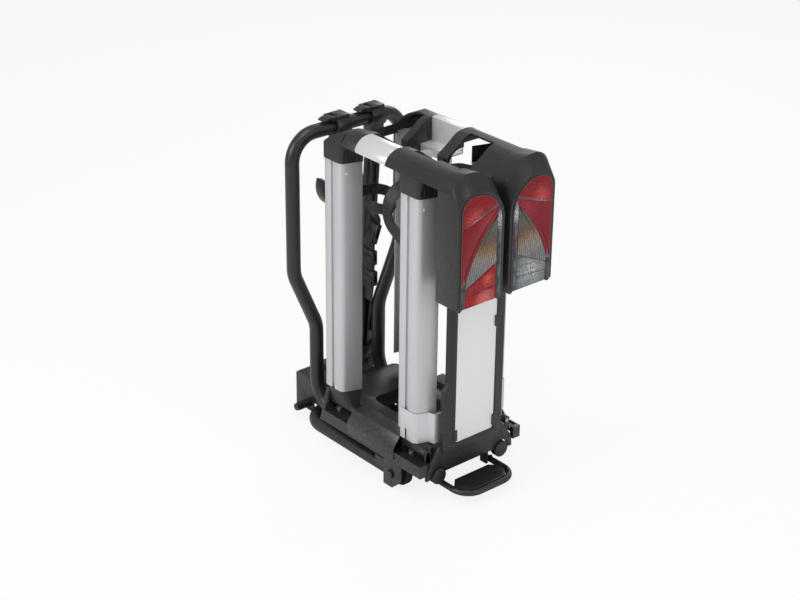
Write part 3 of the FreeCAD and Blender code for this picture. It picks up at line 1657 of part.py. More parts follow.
pad(
    holder, "holder_step", "XZ",
    [
        (-hx - s.holder_step, s.plate_bottom - 6), (-hx + 1, s.plate_bottom - 20),
        (-hx + 1, s.holder_step_z + 12), (-hx - s.holder_step, s.holder_step_z),
    ],
    holder_front, s.holder_back,
)
studs = [holder]
for side, sign in (("near", -1), ("far", 1)):
    place = {"x": s.stud_x * sign, "z": s.stud_z}
    studs.append(rod(f"stud_{side}", "y", 8, holder_front + 4, panel_front + 3, **place))
    studs.append(rod(f"stud_head_{side}", "y", 15, panel_front + s.seat_gap, panel_front + 3.5, **place))
node("plate_holder", fuse("plate_holder", studs))

plate_body = new_body("number_plate_body")
plate_pad = pad(
    plate_body, "plate_sheet", "XZ",
    [
        (-half_plate, s.plate_bottom), (half_plate, s.plate_bottom), (half_plate, plate_top),
        (-half_plate, plate_top),
    ],
    holder_front + 0.9, holder_front + 2.5,
)
round_edges(
    plate_body, "plate_rounds", plate_pad,
    [(sign * half_plate.value, z.value) for sign in (-1, 1) for z in (s.plate_bottom, plate_top)],
    1, 9,
)
node("number_plate", plate_body)

# Frame holders: clamps on the top bar, arms, claws and their straps

bar_bore = s.main_tube_diameter + s.bore_gap
half_clamp = s.clamp_width / 2
lever_axis_z = s.top_bar_z + s.main_tube_diameter / 2 + 6


def clamp(name, x):
    """Two-part clamp ring around the top bar, with a boss for the arm below."""
    ring = rod(
        name + "_ring", "x", s.clamp_radius * 2, x - half_clamp, x + half_clamp, y=s.leg_y, z=s.top_bar_z,
    )
    boss = box(
        name + "_boss", (x - half_clamp + 1, x + half_clamp - 1), (s.leg_y - 14, s.leg_y + 14),
        (s.top_bar_z - s.clamp_radius - 13, s.top_bar_z - 10),
    )
    cap = box(
        name + "_cap", (x - half_clamp + 6, x + half_clamp - 2), (s.leg_y - 17, s.leg_y + 17),
        (s.top_bar_z + 10, s.top_bar_z + s.clamp_radius + 2),
    )
    ears = [
        box(
            f"{name}_ear_{side}", (x - half_clamp - 11, x - half_clamp + 8),
            (s.leg_y + low, s.leg_y + low + 4), (lever_axis_z - 5, lever_axis_z + 5),
        )
        for side, low in (
            ("back", -s.lever_width / 2 - s.running_gap - 4), ("front", s.lever_width / 2 + s.running_gap),
        )
    ]
    bore = rod(
        name + "_bore", "x", bar_bore, x - s.clamp_width, x + s.clamp_width, y=s.leg_y, z=s.top_bar_z,
    )
    pin_hole = rod(
        name + "_pin_hole", "y", s.clamp_pin + s.bore_gap, s.leg_y - s.clamp_radius,
        s.leg_y + s.clamp_radius, x=x - half_clamp - 6, z=lever_axis_z,
    )
    blank = fuse(name + "_blank", [ring, boss, cap] + ears)
    return cut(name, blank, group(name + "_bores", [bore, pin_hole]))


node("clamp_near", clamp("clamp_near", s.clamp_near_x))
node("clamp_far", clamp("clamp_far", s.clamp_far_x))


def clamp_lever(name, x):
    """Cam lever that lies along the bar beside the clamp ring, on its own pin."""
    body = new_body(name + "_body")
    axis_x = x - half_clamp - 6
    low, high = s.leg_y - s.lever_width / 2, s.leg_y + s.lever_width / 2
    pad(
        body, name + "_plate", "XZ",
        [
            (axis_x, lever_axis_z - 4), (axis_x, lever_axis_z + 5), (axis_x - 14, lever_axis_z + 4),
            (axis_x - 25, lever_axis_z - 0.5), (axis_x - 23, lever_axis_z - 4),
        ],
        low, high,
    )
    knuckle = rod(name + "_knuckle", "y", 10, low, high, x=axis_x, z=lever_axis_z)
    pin = rod(name + "_pin", "y", s.clamp_pin, low - 4, high + 4, x=axis_x, z=lever_axis_z)
    return fuse(name, [body, knuckle, pin])


node("clamp_lever_near", clamp_lever("clamp_lever_near", s.clamp_near_x))
node("clamp_lever_far", clamp_lever("clamp_lever_far", s.clamp_far_x))

boss_bottom = s.top_bar_z - s.clamp_radius - 13
half_arm = s.arm_width / 2
claw_top = s.claw_z + s.claw_radius


def short_arm():
    """Flat arm between the near clamp and its claw."""
    x, y = s.clamp_near_x.value, s.leg_y.value
    depth, half = s.arm_depth.value / 2, half_arm.value - 4
    arm_bar = block((x - half, x + half), (y - depth, y + depth), (claw_top.value - 2, boss_bottom.value))
    ring_bore = Part.makeCylinder(
        s.claw_radius.value, 60, Vector(x, y - 30, s.claw_z.value), Vector(0, 1, 0)
    )
    return arm_bar.cut(ring_bore)


node("short_arm", free_form("short_arm", short_arm()))


def long_arm():
    """Grooved profile that leans forward from the far clamp to the lower claw."""
    x, y = s.clamp_far_x.value, s.leg_y.value
    low_y, low_z, top = s.long_arm_low_y.value, s.long_arm_low_z.value, boss_bottom.value
    depth, half = s.arm_depth.value / 2, half_arm.value
    outline = [(y - depth, top), (y + depth, top), (low_y + depth, low_z), (low_y - depth, low_z)]
    solid = prism(outline, "YZ", x - half, x + half)
    for side in (-1, 1):
        groove_outline = [
            (y + side * (depth - 4), top + 1), (y + side * (depth + 9), top + 1),
            (low_y + side * (depth + 9), low_z - 1), (low_y + side * (depth - 4), low_z - 1),
        ]
        solid = solid.cut(prism(groove_outline, "YZ", x - 7, x + 7))
    return solid


node("long_arm", free_form("long_arm", long_arm()))


def claw_ring(x, y, z, start, sweep):
    """C-shaped jaw in the XZ plane, with a soft inner pad groove."""
    outer, width = s.claw_radius.value, s.claw_width.value
    inner = outer - s.claw_section.value
    base, axis = Vector(x, y - width / 2, z), Vector(0, 1, 0)
    ring = Part.makeCylinder(outer, width, base, axis, sweep)
    ring = ring.cut(Part.makeCylinder(inner, width + 2, base - Vector(0, 1, 0), axis, 360))
    groove = Part.makeCylinder(inner + 3, width - 10, base + Vector(0, 5, 0), axis, 360)
    ring = ring.cut(groove)
    ring.rotate(Vector(x, y, z), Vector(0, 1, 0), start)
    return ring


def near_claw():
    x, y, z = s.clamp_near_x.value, s.leg_y.value, s.claw_z.value
    return claw_ring(x, y, z, 0, 290)


node("claw_near", free_form("claw_near", near_claw()))


def near_claw_strap():
    """Toothed strap across the jaw's mouth, with its buckle and a loose end."""
    x, y, z = s.clamp_near_x.value, s.leg_y.value, s.claw_z.value
    r = s.claw_radius.value + STRAP_THICKNESS / 2 + 0.8
    stations = []
    for angle in (250, 285, 320, 352, 385, 405):
        a = math.radians(angle)
        stations.append(((x + r * math.cos(a), y, z + r * math.sin(a)), level))
    fastener = buckle((x + 12, y, z - r - 6), -12, 34, 28, 12)
    return band(stations, STRAP_WIDTH, STRAP_THICKNESS).fuse(fastener)


node("claw_strap_near", free_form("claw_strap_near", near_claw_strap()))


def far_claw():
    """Jaw folded under the long arm: a palm with a ribbed pad beside the coupling."""
    x, y, z = s.clamp_far_x.value, s.long_arm_low_y.value, s.long_arm_low_z.value
    half = half_arm.value
    palm = block((x - half + 6, x + 31), (y - 14, y + 14), (z - 28, z))
    finger = block((x + 4, x + 31), (y - 14, y + 14), (z - 76, z - 27))
    solid = palm.fuse(finger)
    for k in range(6):
        solid = solid.cut(block((x + 28, x + 32), (y - 15, y + 15), (z - 70 + k * 9, z - 66 + k * 9)))
        solid = solid.cut(block((x + 3, x + 32), (y - 15, y - 12), (z - 70 + k * 9, z - 66 + k * 9)))
    return solid


node("claw_far", free_form("claw_far", far_claw()))


def far_claw_strap():
    """Strap of the lower claw, wound round its palm and tucked up the arm."""
    x, y, z = s.clamp_far_x.value, s.long_arm_low_y.value, s.long_arm_low_z.value
    stations = [
        ((x + 32.6, y, z - 22), level), ((x + 32.6, y, z + 6), level),
        ((x + 27, y - 3, z + 60), level), ((x + 22, y - 9, z + 120), level),
    ]
    return band(stations, STRAP_WIDTH, STRAP_THICKNESS).fuse(buckle((x + 26, y - 4, z + 62), -84, 34, 28, 9))


node("claw_strap_far", free_form("claw_strap_far", far_claw_strap()))

# Check and export

doc.recompute()
os.makedirs("parts", exist_ok=True)
faults = []
for obj in doc.Objects:
    if "Invalid" in obj.State or "Error" in obj.State:
        faults.append(f"{obj.Name}: {obj.State}")
for obj in NODES:
    if obj.Shape.isNull() or not obj.Shape.Solids or not obj.Shape.isValid():
        faults.append(f"{obj.Label}: shape")
if faults:
    raise SystemExit("not exported: " + "; ".join(faults))
for obj in NODES:
    obj.Shape.exportStep(f"parts/{obj.Label}.step")
    print(f"{obj.Label}: {len(obj.Shape.Solids)} solid(s), {obj.Shape.Volume / 1000:.1f} cm3")
print(f"{len(NODES)} nodes")
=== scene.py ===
"""Looks of a folded tow-bar bike carrier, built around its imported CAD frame.

Lengths are metres in the CAD model's frame: X runs across, +Y points at the vehicle, +Z is up.
The near wing stands at -X and the far wing mirrors it.
"""

import json
import logging
import math
from collections.abc import Callable, Iterable, Sequence
from dataclasses import dataclass
from enum import Enum

import bmesh
import bpy
from mathutils import Matrix, Vector

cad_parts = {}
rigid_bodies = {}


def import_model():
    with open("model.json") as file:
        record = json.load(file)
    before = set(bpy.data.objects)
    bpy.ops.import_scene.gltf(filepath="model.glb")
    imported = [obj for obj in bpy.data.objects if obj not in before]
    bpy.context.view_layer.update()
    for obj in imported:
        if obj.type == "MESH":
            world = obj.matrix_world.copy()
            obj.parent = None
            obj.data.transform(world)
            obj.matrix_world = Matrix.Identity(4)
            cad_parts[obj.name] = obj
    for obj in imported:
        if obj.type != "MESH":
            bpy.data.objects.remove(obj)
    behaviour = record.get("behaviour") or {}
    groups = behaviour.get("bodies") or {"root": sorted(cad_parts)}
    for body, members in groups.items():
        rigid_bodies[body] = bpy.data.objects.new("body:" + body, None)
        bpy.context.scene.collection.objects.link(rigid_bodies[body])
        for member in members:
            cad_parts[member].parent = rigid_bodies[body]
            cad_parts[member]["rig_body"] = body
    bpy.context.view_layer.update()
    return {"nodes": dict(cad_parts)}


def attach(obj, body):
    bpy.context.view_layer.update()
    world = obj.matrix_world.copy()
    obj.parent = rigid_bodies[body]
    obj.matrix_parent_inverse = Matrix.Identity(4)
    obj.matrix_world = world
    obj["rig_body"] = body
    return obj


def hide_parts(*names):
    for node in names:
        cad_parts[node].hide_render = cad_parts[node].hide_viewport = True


LOG = logging.getLogger("carrier")
MM = 0.001

Flat = tuple[float, float]
Point = tuple[float, float, float]
Colour = tuple[float, float, float]
Piece = bpy.types.Object
Material = bpy.types.Material
Node = bpy.types.Node
Socket = bpy.types.NodeSocket


class Side(Enum):
    """The two wings, by the sign of their X."""

    NEAR = -1
    FAR = 1

    @property
    def label(self) -> str:
        """Ending of the side's node and body names."""
        return self.name.lower()


def mm(point: Sequence[float]) -> Vector:
    """A point given in millimetres, in metres."""
    return Vector(point) * MM


def arc(start: Flat, through: Flat, end: Flat, steps: int = 14) -> list[Flat]:
    """Points on the circle through three places.

    Args:
        start: First place.
        through: A place between the ends.
        end: Last place.
        steps: Number of chords.

    Returns:
        The points, with both ends.
    """
    (ax, ay), (bx, by), (cx, cy) = start, through, end
    d = 2 * (ax * (by - cy) + bx * (cy - ay) + cx * (ay - by))
    aa, bb, cc = ax * ax + ay * ay, bx * bx + by * by, cx * cx + cy * cy
    ux = (aa * (by - cy) + bb * (cy - ay) + cc * (ay - by)) / d
    uy = (aa * (cx - bx) + bb * (ax - cx) + cc * (bx - ax)) / d
    first = math.atan2(ay - uy, ax - ux)
    middle = math.atan2(by - uy, bx - ux)
    last = math.atan2(cy - uy, cx - ux)
    turn = (last - first) % math.tau
    if (middle - first) % math.tau > turn:
        turn -= math.tau
    radius = math.hypot(ax - ux, ay - uy)
    angles = [first + turn * k / steps for k in range(steps + 1)]
    return [(ux + radius * math.cos(a), uy + radius * math.sin(a)) for a in angles]


def smooth_line(points: Sequence[Vector], steps: int) -> list[Vector]:
    """Samples a smooth line through points.

    Args:
        points: Places that the line passes.
        steps: Samples for each stretch.

    Returns:
        The samples in order.
    """
    ends = [points[0] * 2 - points[1], *points, points[-1] * 2 - points[-2]]
    line = []
    for i in range(1, len(ends) - 2):
        before, a, b, after = ends[i - 1 : i + 3]
        for k in range(steps):
            t = k / steps
            bend = (before * 2 - a * 5 + b * 4 - after) * t**2
            turn = (a * 3 - before - b * 3 + after) * t**3
            line.append((a * 2 + (b - before) * t + bend + turn) / 2)
    line.append(points[-1])
    return line


# Modelling bench


class Bench:
    """Mesh tools used as by hand: add a form, pick parts of it, shape them, finish it."""

    WELD = 1e-6
    FLAT_ANGLE = 0.3

    @staticmethod
    def hold(piece: Piece) -> None:
        """Selects one piece alone."""
        bpy.ops.object.select_all(action="DESELECT")
        piece.select_set(True)
        bpy.context.view_layer.objects.active = piece

    @classmethod
    def edit(cls, piece: Piece) -> None:
        """Opens a piece in edit mode with all of it selected."""
        cls.hold(piece)
        bpy.ops.object.mode_set(mode="EDIT")
        bpy.ops.mesh.select_all(action="SELECT")

    @classmethod
    def dish(cls, piece: Piece, test: Callable[[bmesh.types.BMFace], bool], rim: float, depth: float) -> None:
        """Sinks the faces that pass a test, inside a rim; both in millimetres."""
        cls.pick(piece, test)
        bpy.ops.mesh.inset(thickness=rim * MM, depth=-depth * MM)
        cls.put_down()

    @staticmethod
    def put_down() -> None:
        """Leaves edit mode."""
        bpy.ops.object.mode_set(mode="OBJECT")

    @staticmethod
    def show(name: str, data: bpy.types.ID) -> Piece:
        """A new object in the scene around its data."""
        piece = bpy.data.objects.new(name, data)
        bpy.context.collection.objects.link(piece)
        return piece

    @classmethod
    def from_faces(cls, name: str, corners: Iterable[Vector], faces: Sequence[tuple[int, ...]]) -> Piece:
        """A new piece from its corners in metres and its faces."""
        mesh = bpy.data.meshes.new(name)
        mesh.from_pydata([tuple(corner) for corner in corners], [], faces)
        return cls.show(name, mesh)

    @classmethod
    def turn_out(cls, piece: Piece) -> Piece:
        """Makes every face look outwards."""
        cls.edit(piece)
        bpy.ops.mesh.normals_make_consistent(inside=False)
        cls.put_down()
        return piece

    @classmethod
    def settle(cls, piece: Piece, name: str) -> Piece:
        """Names a new piece and moves its place into its mesh."""
        cls.hold(piece)
        piece.name = name
        piece.data.name = name
        bpy.ops.object.transform_apply(location=True, rotation=True, scale=True)
        return piece

    @classmethod
    def block(cls, name: str, low: Point, high: Point) -> Piece:
        """A block between two corners given in millimetres."""
        a, b = mm(low), mm(high)
        bpy.ops.mesh.primitive_cube_add(size=1, location=(a + b) / 2)
        piece = bpy.context.object
        piece.scale = b - a
        return cls.settle(piece, name)

    @classmethod
    def disc(
        cls, name: str, centre: Point, normal: Point, radius: float, depth: float, corners: int = 40
    ) -> Piece:
        """A round blank.

        Args:
            name: Name of the piece.
            centre: Middle of the blank, in millimetres.
            normal: Its axis.
            radius: Radius in millimetres.
            depth: Length along the axis in millimetres.
            corners: Number of sides.

        Returns:
            The new piece.
        """
        turn = Vector(normal).to_track_quat("Z", "Y").to_euler()
        bpy.ops.mesh.primitive_cylinder_add(
            vertices=corners, radius=radius * MM, depth=depth * MM, location=mm(centre), rotation=turn
        )
        return cls.settle(bpy.context.object, name)

    @classmethod
    def slab(cls, name: str, outline: Sequence[Vector], along: Vector) -> Piece:
        """A closed outline in metres, extruded along a vector."""
        piece = cls.from_faces(name, outline, [tuple(range(len(outline)))])
        cls.edit(piece)
        bpy.ops.mesh.extrude_region_move(TRANSFORM_OT_translate={"value": tuple(along)})
        cls.put_down()
        return cls.turn_out(piece)

    @classmethod
    def plan(cls, name: str, outline: Iterable[Flat], low: float, high: float) -> Piece:
        """An outline in the XZ plane, from one Y to another, all in millimetres."""
        points = [mm((x, low, z)) for x, z in outline]
        return cls.slab(name, points, Vector((0, (high - low) * MM, 0)))

    @classmethod
    def pick(cls, piece: Piece, test: Callable[[bmesh.types.BMFace], bool]) -> None:
        """Selects the faces that pass a test and leaves the piece in edit mode."""
        cls.edit(piece)
        bpy.ops.mesh.select_mode(type="FACE")
        bpy.ops.mesh.select_all(action="DESELECT")
        for face in bmesh.from_edit_mesh(piece.data).faces:
            if test(face):
                face.select_set(True)
        bmesh.update_edit_mesh(piece.data)

    @classmethod
    def apply(cls, piece: Piece, kind: str, **settings: object) -> Piece:
        """Adds a modifier with its settings and applies it."""
        cls.hold(piece)
        modifier = piece.modifiers.new(kind.lower(), kind)
        for key, value in settings.items():
            setattr(modifier, key, value)
        bpy.ops.object.modifier_apply(modifier=modifier.name)
        return piece

    @classmethod
    def soften(cls, piece: Piece, width: float, segments: int = 2, angle: float = 35) -> Piece:
        """Rounds the sharp edges of a piece.

        Args:
            piece: The piece.
            width: Width of the rounding in millimetres.
            segments: Faces across the rounding.
            angle: Edges sharper than this many degrees are rounded.

        Returns:
            The same piece.
        """
        cls.apply(
            piece, "BEVEL", width=width * MM, segments=segments, limit_method="ANGLE",
            angle_limit=math.radians(angle), miter_outer="MITER_ARC", use_clamp_overlap=True,
        )
        return cls.shade(piece)

    @classmethod
    def shade(cls, piece: Piece, angle: float = 32) -> Piece:
        """Shades a piece smooth up to an angle in degrees."""
        cls.hold(piece)
        bpy.ops.object.shade_smooth_by_angle(angle=math.radians(angle))
        return piece

    @classmethod
    def carve(cls, piece: Piece, *cutters: Piece) -> Piece:
        """Cuts tools out of a piece and throws the tools away."""
        for cutter in cutters:
            cls.apply(piece, "BOOLEAN", operation="DIFFERENCE", solver="EXACT", object=cutter)
            bpy.data.objects.remove(cutter)
        return piece

    @classmethod
    def join(cls, name: str, pieces: Sequence[Piece]) -> Piece:
        """Makes one piece of several."""
        bpy.ops.object.select_all(action="DESELECT")
        for piece in pieces:
            piece.select_set(True)
        bpy.context.view_layer.objects.active = pieces[0]
        if len(pieces) > 1:
            bpy.ops.object.join()
        joined = bpy.context.view_layer.objects.active
        joined.name = name
        joined.data.name = name
        return joined

    @classmethod
    def copy(cls, piece: Piece, name: str) -> Piece:
        """A copy with its own mesh."""
        twin = cls.show(name, piece.data.copy())
        twin.data.name = name
        return twin

    @classmethod
    def mirrored(cls, piece: Piece, name: str) -> Piece:
        """A copy on the other side of the YZ plane."""
        twin = cls.copy(piece, name)
        twin.data.transform(Matrix.Scale(-1, 4, (1, 0, 0)))
        twin.data.flip_normals()
        return twin

    @classmethod
    def from_node(cls, node: Piece, name: str) -> Piece:
        """A merged copy of a CAD node, with its flat faces made whole."""
        twin = cls.copy(node, name)
        twin.data.materials.clear()
        cls.edit(twin)
        bpy.ops.mesh.remove_doubles(threshold=cls.WELD)
        bpy.ops.mesh.customdata_custom_splitnormals_clear()
        bpy.ops.mesh.dissolve_limited(angle_limit=math.radians(cls.FLAT_ANGLE))
        cls.put_down()
        return twin


# Node groups


@dataclass
class Tree:
    """A shader node tree with short calls to add and link its nodes."""

    tree: bpy.types.NodeTree

    def feed(self, node: Node, inputs: dict[str | int, object]) -> None:
        """Links inputs of a node to other sockets, or sets them to numbers or colours."""
        for key, value in inputs.items():
            socket = node.inputs[key]
            if isinstance(value, Socket):
                self.tree.links.new(value, socket)
            else:
                socket.default_value = (*value, 1) if socket.type == "RGBA" else value

    def add(self, kind: str, inputs: dict[str | int, object] | None = None, **settings: object) -> Node:
        """Adds a node with its settings and feeds its inputs."""
        node = self.tree.nodes.new(kind)
        for key, value in settings.items():
            setattr(node, key, value)
        self.feed(node, inputs or {})
        return node

    def math(self, operation: str, *values: object) -> Socket:
        """A maths node on sockets or numbers."""
        return self.add("ShaderNodeMath", dict(enumerate(values)), operation=operation).outputs[0]

    def noise(self, scale: object, detail: float, where: Socket) -> Socket:
        """Noise at a scale, as a number from 0 to 1."""
        node = self.add("ShaderNodeTexNoise", {"Scale": scale, "Detail": detail, "Vector": where})
        return node.outputs["Fac"]

    def place(self) -> Socket:
        """Object coordinates."""
        return self.add("ShaderNodeTexCoord").outputs["Object"]

    def stretched(self, scale: Point) -> Socket:
        """Object coordinates, stretched along the axes."""
        return self.add("ShaderNodeMapping", {"Scale": scale, "Vector": self.place()}).outputs[0]

    def axes(self, vector: Socket) -> tuple[Socket, ...]:
        """The three parts of a vector."""
        return tuple(self.add("ShaderNodeSeparateXYZ", {0: vector}).outputs)

    def bump(self, height: Socket, strength: object, distance: float) -> Socket:
        """A surface normal from a height."""
        node = self.add("ShaderNodeBump", {"Distance": distance, "Strength": strength, "Height": height})
        return node.outputs[0]

    def blend(self, share: Socket, first: object, second: object) -> Socket:
        """Mixes two colours by a share."""
        return self.add("ShaderNodeMix", {0: share, 6: first, 7: second}, data_type="RGBA").outputs[2]

    def gain(self, colour: object, share: Socket) -> Socket:
        """A colour made brighter or darker by a factor."""
        node = self.add("ShaderNodeVectorMath", {0: colour, "Scale": share}, operation="SCALE")
        return node.outputs[0]

    def span(self, value: Socket, low: float, high: float, start: float = 0, end: float = 1) -> Socket:
        """Maps a range of a value onto another range."""
        inputs = dict(enumerate((value, low, high, start, end)))
        return self.add("ShaderNodeMapRange", inputs, clamp=True).outputs[0]

    def swing(self, level: object, wave: Socket, spread: object) -> Socket:
        """A level that a wave from 0 to 1 moves up and down."""
        return self.math("ADD", level, self.math("MULTIPLY", self.math("SUBTRACT", wave, 0.5), spread))


class Effects:
    """Node groups that several finishes share; each is made once."""

    DUST: Colour = (0.32, 0.31, 0.29)
    CLOUDS, PATCHES, SCUFFS, CHIPS, SPECKS, STRAP_PITS = 9, 22, 60, 140, 260, 700
    PIT_RELIEF, LINE_RELIEF, STRAP_RELIEF, PRISM_RELIEF = 0.0003, 0.0001, 0.0004, 0.004
    made: dict[str, bpy.types.NodeTree] = {}

    @classmethod
    def start(cls, name: str, inputs: dict[str, object], outputs: dict[str, str]) -> tuple[Tree, Node, Node]:
        """Opens a new group with named sockets.

        Args:
            name: Name of the group.
            inputs: Its inputs with their first values.
            outputs: Its outputs with their kinds.

        Returns:
            The group's tree, its input node and its output node.
        """
        tree = bpy.data.node_groups.new(name, "ShaderNodeTree")
        for key, value in inputs.items():
            kind = "Float" if isinstance(value, float) else "Vector" if key == "Stretch" else "Color"
            socket = tree.interface.new_socket(name=key, in_out="INPUT", socket_type=f"NodeSocket{kind}")
            socket.default_value = (*value, 1) if kind == "Color" else value
        for key, kind in outputs.items():
            tree.interface.new_socket(name=key, in_out="OUTPUT", socket_type=f"NodeSocket{kind}")
        cls.made[name] = tree
        return Tree(tree), tree.nodes.new("NodeGroupInput"), tree.nodes.new("NodeGroupOutput")

    @classmethod
    def grain(cls) -> None:
        """Moulded skin: fine pits, and broad patches that shine a little more or less."""
        tree, given, out = cls.start(
            "moulded_grain", {"Scale": 900.0, "Depth": 0.2, "Roughness": 0.5, "Spread": 0.08},
            {"Roughness": "Float", "Normal": "Vector"},
        )
        where, level = tree.place(), given.outputs
        tree.feed(out, {
            "Normal": tree.bump(tree.noise(level["Scale"], 3, where), level["Depth"], cls.PIT_RELIEF),
            "Roughness": tree.swing(level["Roughness"], tree.noise(cls.PATCHES, 4, where), level["Spread"]),
        })

    @classmethod
    def wear(cls) -> None:
        """Edges rubbed to a paler colour."""
        tree, given, out = cls.start(
            "edge_wear", {"Colour": (0.5, 0.5, 0.5), "Rubbed": (0.6, 0.6, 0.6), "Amount": 0.3},
            {"Colour": "Color"},
        )
        level = given.outputs
        sharp = tree.span(tree.add("ShaderNodeNewGeometry").outputs["Pointiness"], 0.51, 0.62)
        broken = tree.span(tree.noise(cls.CHIPS, 5, tree.place()), 0.38, 0.66)
        mask = tree.math("MULTIPLY", tree.math("MULTIPLY", sharp, broken), level["Amount"])
        tree.feed(out, {"Colour": tree.blend(mask, level["Colour"], level["Rubbed"])})

    @classmethod
    def mottle(cls) -> None:
        """Slow colour variation, with a little dust on what faces up."""
        tree, given, out = cls.start(
            "mottle", {"Colour": (0.5, 0.5, 0.5), "Shift": 0.1, "Dust": 0.1}, {"Colour": "Color"}
        )
        where, level = tree.place(), given.outputs
        clouds = tree.noise(cls.CLOUDS, 5, where)
        shifted = tree.gain(level["Colour"], tree.swing(1.0, clouds, level["Shift"]))
        upward = tree.span(tree.axes(tree.add("ShaderNodeNewGeometry").outputs["Normal"])[2], 0.3, 1.0)
        specks = tree.span(tree.noise(cls.SPECKS, 6, where), 0.5, 0.75)
        amount = tree.math("MULTIPLY", tree.math("MULTIPLY", upward, specks), level["Dust"])
        tree.feed(out, {"Colour": tree.blend(amount, shifted, cls.DUST)})

    @classmethod
    def drawn(cls) -> None:
        """Fine lines that an extruded or rolled metal keeps along its length."""
        tree, given, out = cls.start(
            "drawn_lines",
            {"Stretch": (2600.0, 2600.0, 9.0), "Depth": 0.1, "Roughness": 0.35, "Spread": 0.1},
            {"Roughness": "Float", "Normal": "Vector", "Mask": "Float"},
        )
        level = given.outputs
        ends = {0: tree.place(), 1: level["Stretch"]}
        pulled = tree.add("ShaderNodeVectorMath", ends, operation="MULTIPLY").outputs[0]
        lines = tree.noise(1.0, 4, pulled)
        tree.feed(out, {
            "Normal": tree.bump(lines, level["Depth"], cls.LINE_RELIEF),
            "Roughness": tree.swing(level["Roughness"], lines, level["Spread"]),
            "Mask": lines,
        })

    @classmethod
    def prisms(cls) -> None:
        """Optics of a lamp lens: rows of small pyramids, at a tilt in the XZ plane; their height is also the
        mask for painted shade in the valleys.
        """
        tree, given, out = cls.start(
            "lens_prisms", {"Pitch": 0.004, "Ratio": 1.0, "Tilt": 0.0, "Depth": 1.0},
            {"Normal": "Vector", "Mask": "Float"},
        )
        level = given.outputs
        x, _, z = tree.axes(tree.place())
        cosine, sine = tree.math("COSINE", level["Tilt"]), tree.math("SINE", level["Tilt"])
        across = tree.math("ADD", tree.math("MULTIPLY", x, cosine), tree.math("MULTIPLY", z, sine))
        up = tree.math("SUBTRACT", tree.math("MULTIPLY", z, cosine), tree.math("MULTIPLY", x, sine))
        tall = tree.math("MULTIPLY", level["Pitch"], level["Ratio"])
        first = tree.math("PINGPONG", tree.math("DIVIDE", across, level["Pitch"]), 0.5)
        second = tree.math("PINGPONG", tree.math("DIVIDE", up, tall), 0.5)
        height = tree.math("MINIMUM", first, second)
        tree.feed(out, {
            "Normal": tree.bump(height, level["Depth"], cls.PRISM_RELIEF),
            # Mask: the prisms' height, which the lens finishes use to paint shade into the valleys.
            "Mask": tree.math("MULTIPLY", height, 2.0),
        })

    @classmethod
    def strap_skin(cls) -> None:
        """Skin of a strap: fine grain and long scuffs."""
        tree, given, out = cls.start(
            "strap_skin", {"Depth": 0.4, "Roughness": 0.5}, {"Roughness": "Float", "Normal": "Vector"}
        )
        fine = tree.noise(cls.STRAP_PITS, 3, tree.place())
        scuffs = tree.span(tree.noise(cls.SCUFFS, 6, tree.stretched((1, 1, 0.3))), 0.3, 0.7, -0.09, 0.09)
        tree.feed(out, {
            "Normal": tree.bump(fine, given.outputs["Depth"], cls.STRAP_RELIEF),
            "Roughness": tree.math("ADD", given.outputs["Roughness"], scuffs),
        })

    @classmethod
    def make_all(cls) -> None:
        """Makes every group."""
        for maker in (cls.grain, cls.wear, cls.mottle, cls.drawn, cls.prisms, cls.strap_skin):
            maker()

    @classmethod
    def put(cls, tree: Tree, name: str, **values: object) -> Node:
        """Places a group in a material with its own values."""
        return tree.add("ShaderNodeGroup", values, node_tree=cls.made[name])


# Finishes


@dataclass(frozen=True)
class Finish:
    """A surface that gives a material."""

    name: str
    colour: Colour
    roughness: float = 0.5
    specular: float = 0.5

    def open(self) -> tuple[Material, Tree, Node]:
        """Starts the material and sets what is even all over."""
        material = bpy.data.materials.new(self.name)
        material.use_nodes = True
        material.diffuse_color = (*self.colour, 1)
        tree, shader = Tree(material.node_tree), material.node_tree.nodes["Principled BSDF"]
        tree.feed(shader, {
            "Base Color": self.colour, "Roughness": self.roughness, "Specular IOR Level": self.specular,
        })
        return material, tree, shader

    def build(self) -> Material:
        """The finished material."""
        return self.open()[0]


@dataclass(frozen=True)
class Moulded(Finish):
    """Injection-moulded plastic with a grained skin."""

    scale: float = 900.0
    depth: float = 0.25
    spread: float = 0.12
    rubbed: Colour = (0.16, 0.16, 0.165)
    wear: float = 0.5
    dust: float = 0.12

    def build(self) -> Material:
        """Grain, paler edges and a trace of dust."""
        material, tree, shader = self.open()
        skin = Effects.put(
            tree, "moulded_grain", Scale=self.scale, Depth=self.depth, Roughness=self.roughness,
            Spread=self.spread,
        )
        base = Effects.put(tree, "mottle", Colour=self.colour, Shift=0.25, Dust=self.dust)
        worn = Effects.put(
            tree, "edge_wear", Colour=base.outputs["Colour"], Rubbed=self.rubbed, Amount=self.wear
        )
        tree.feed(shader, {
            "Base Color": worn.outputs["Colour"], "Roughness": skin.outputs["Roughness"],
            "Normal": skin.outputs["Normal"],
        })
        return material


@dataclass(frozen=True)
class Painted(Moulded):
    """Powder-coated steel: a slow orange peel under a soft coat."""

    coat: float = 0.25
    haze: float = 0.3

    def build(self) -> Material:
        """The moulded build with a coat."""
        material = super().build()
        shader = material.node_tree.nodes["Principled BSDF"]
        Tree(material.node_tree).feed(shader, {"Coat Weight": self.coat, "Coat Roughness": self.haze})
        return material


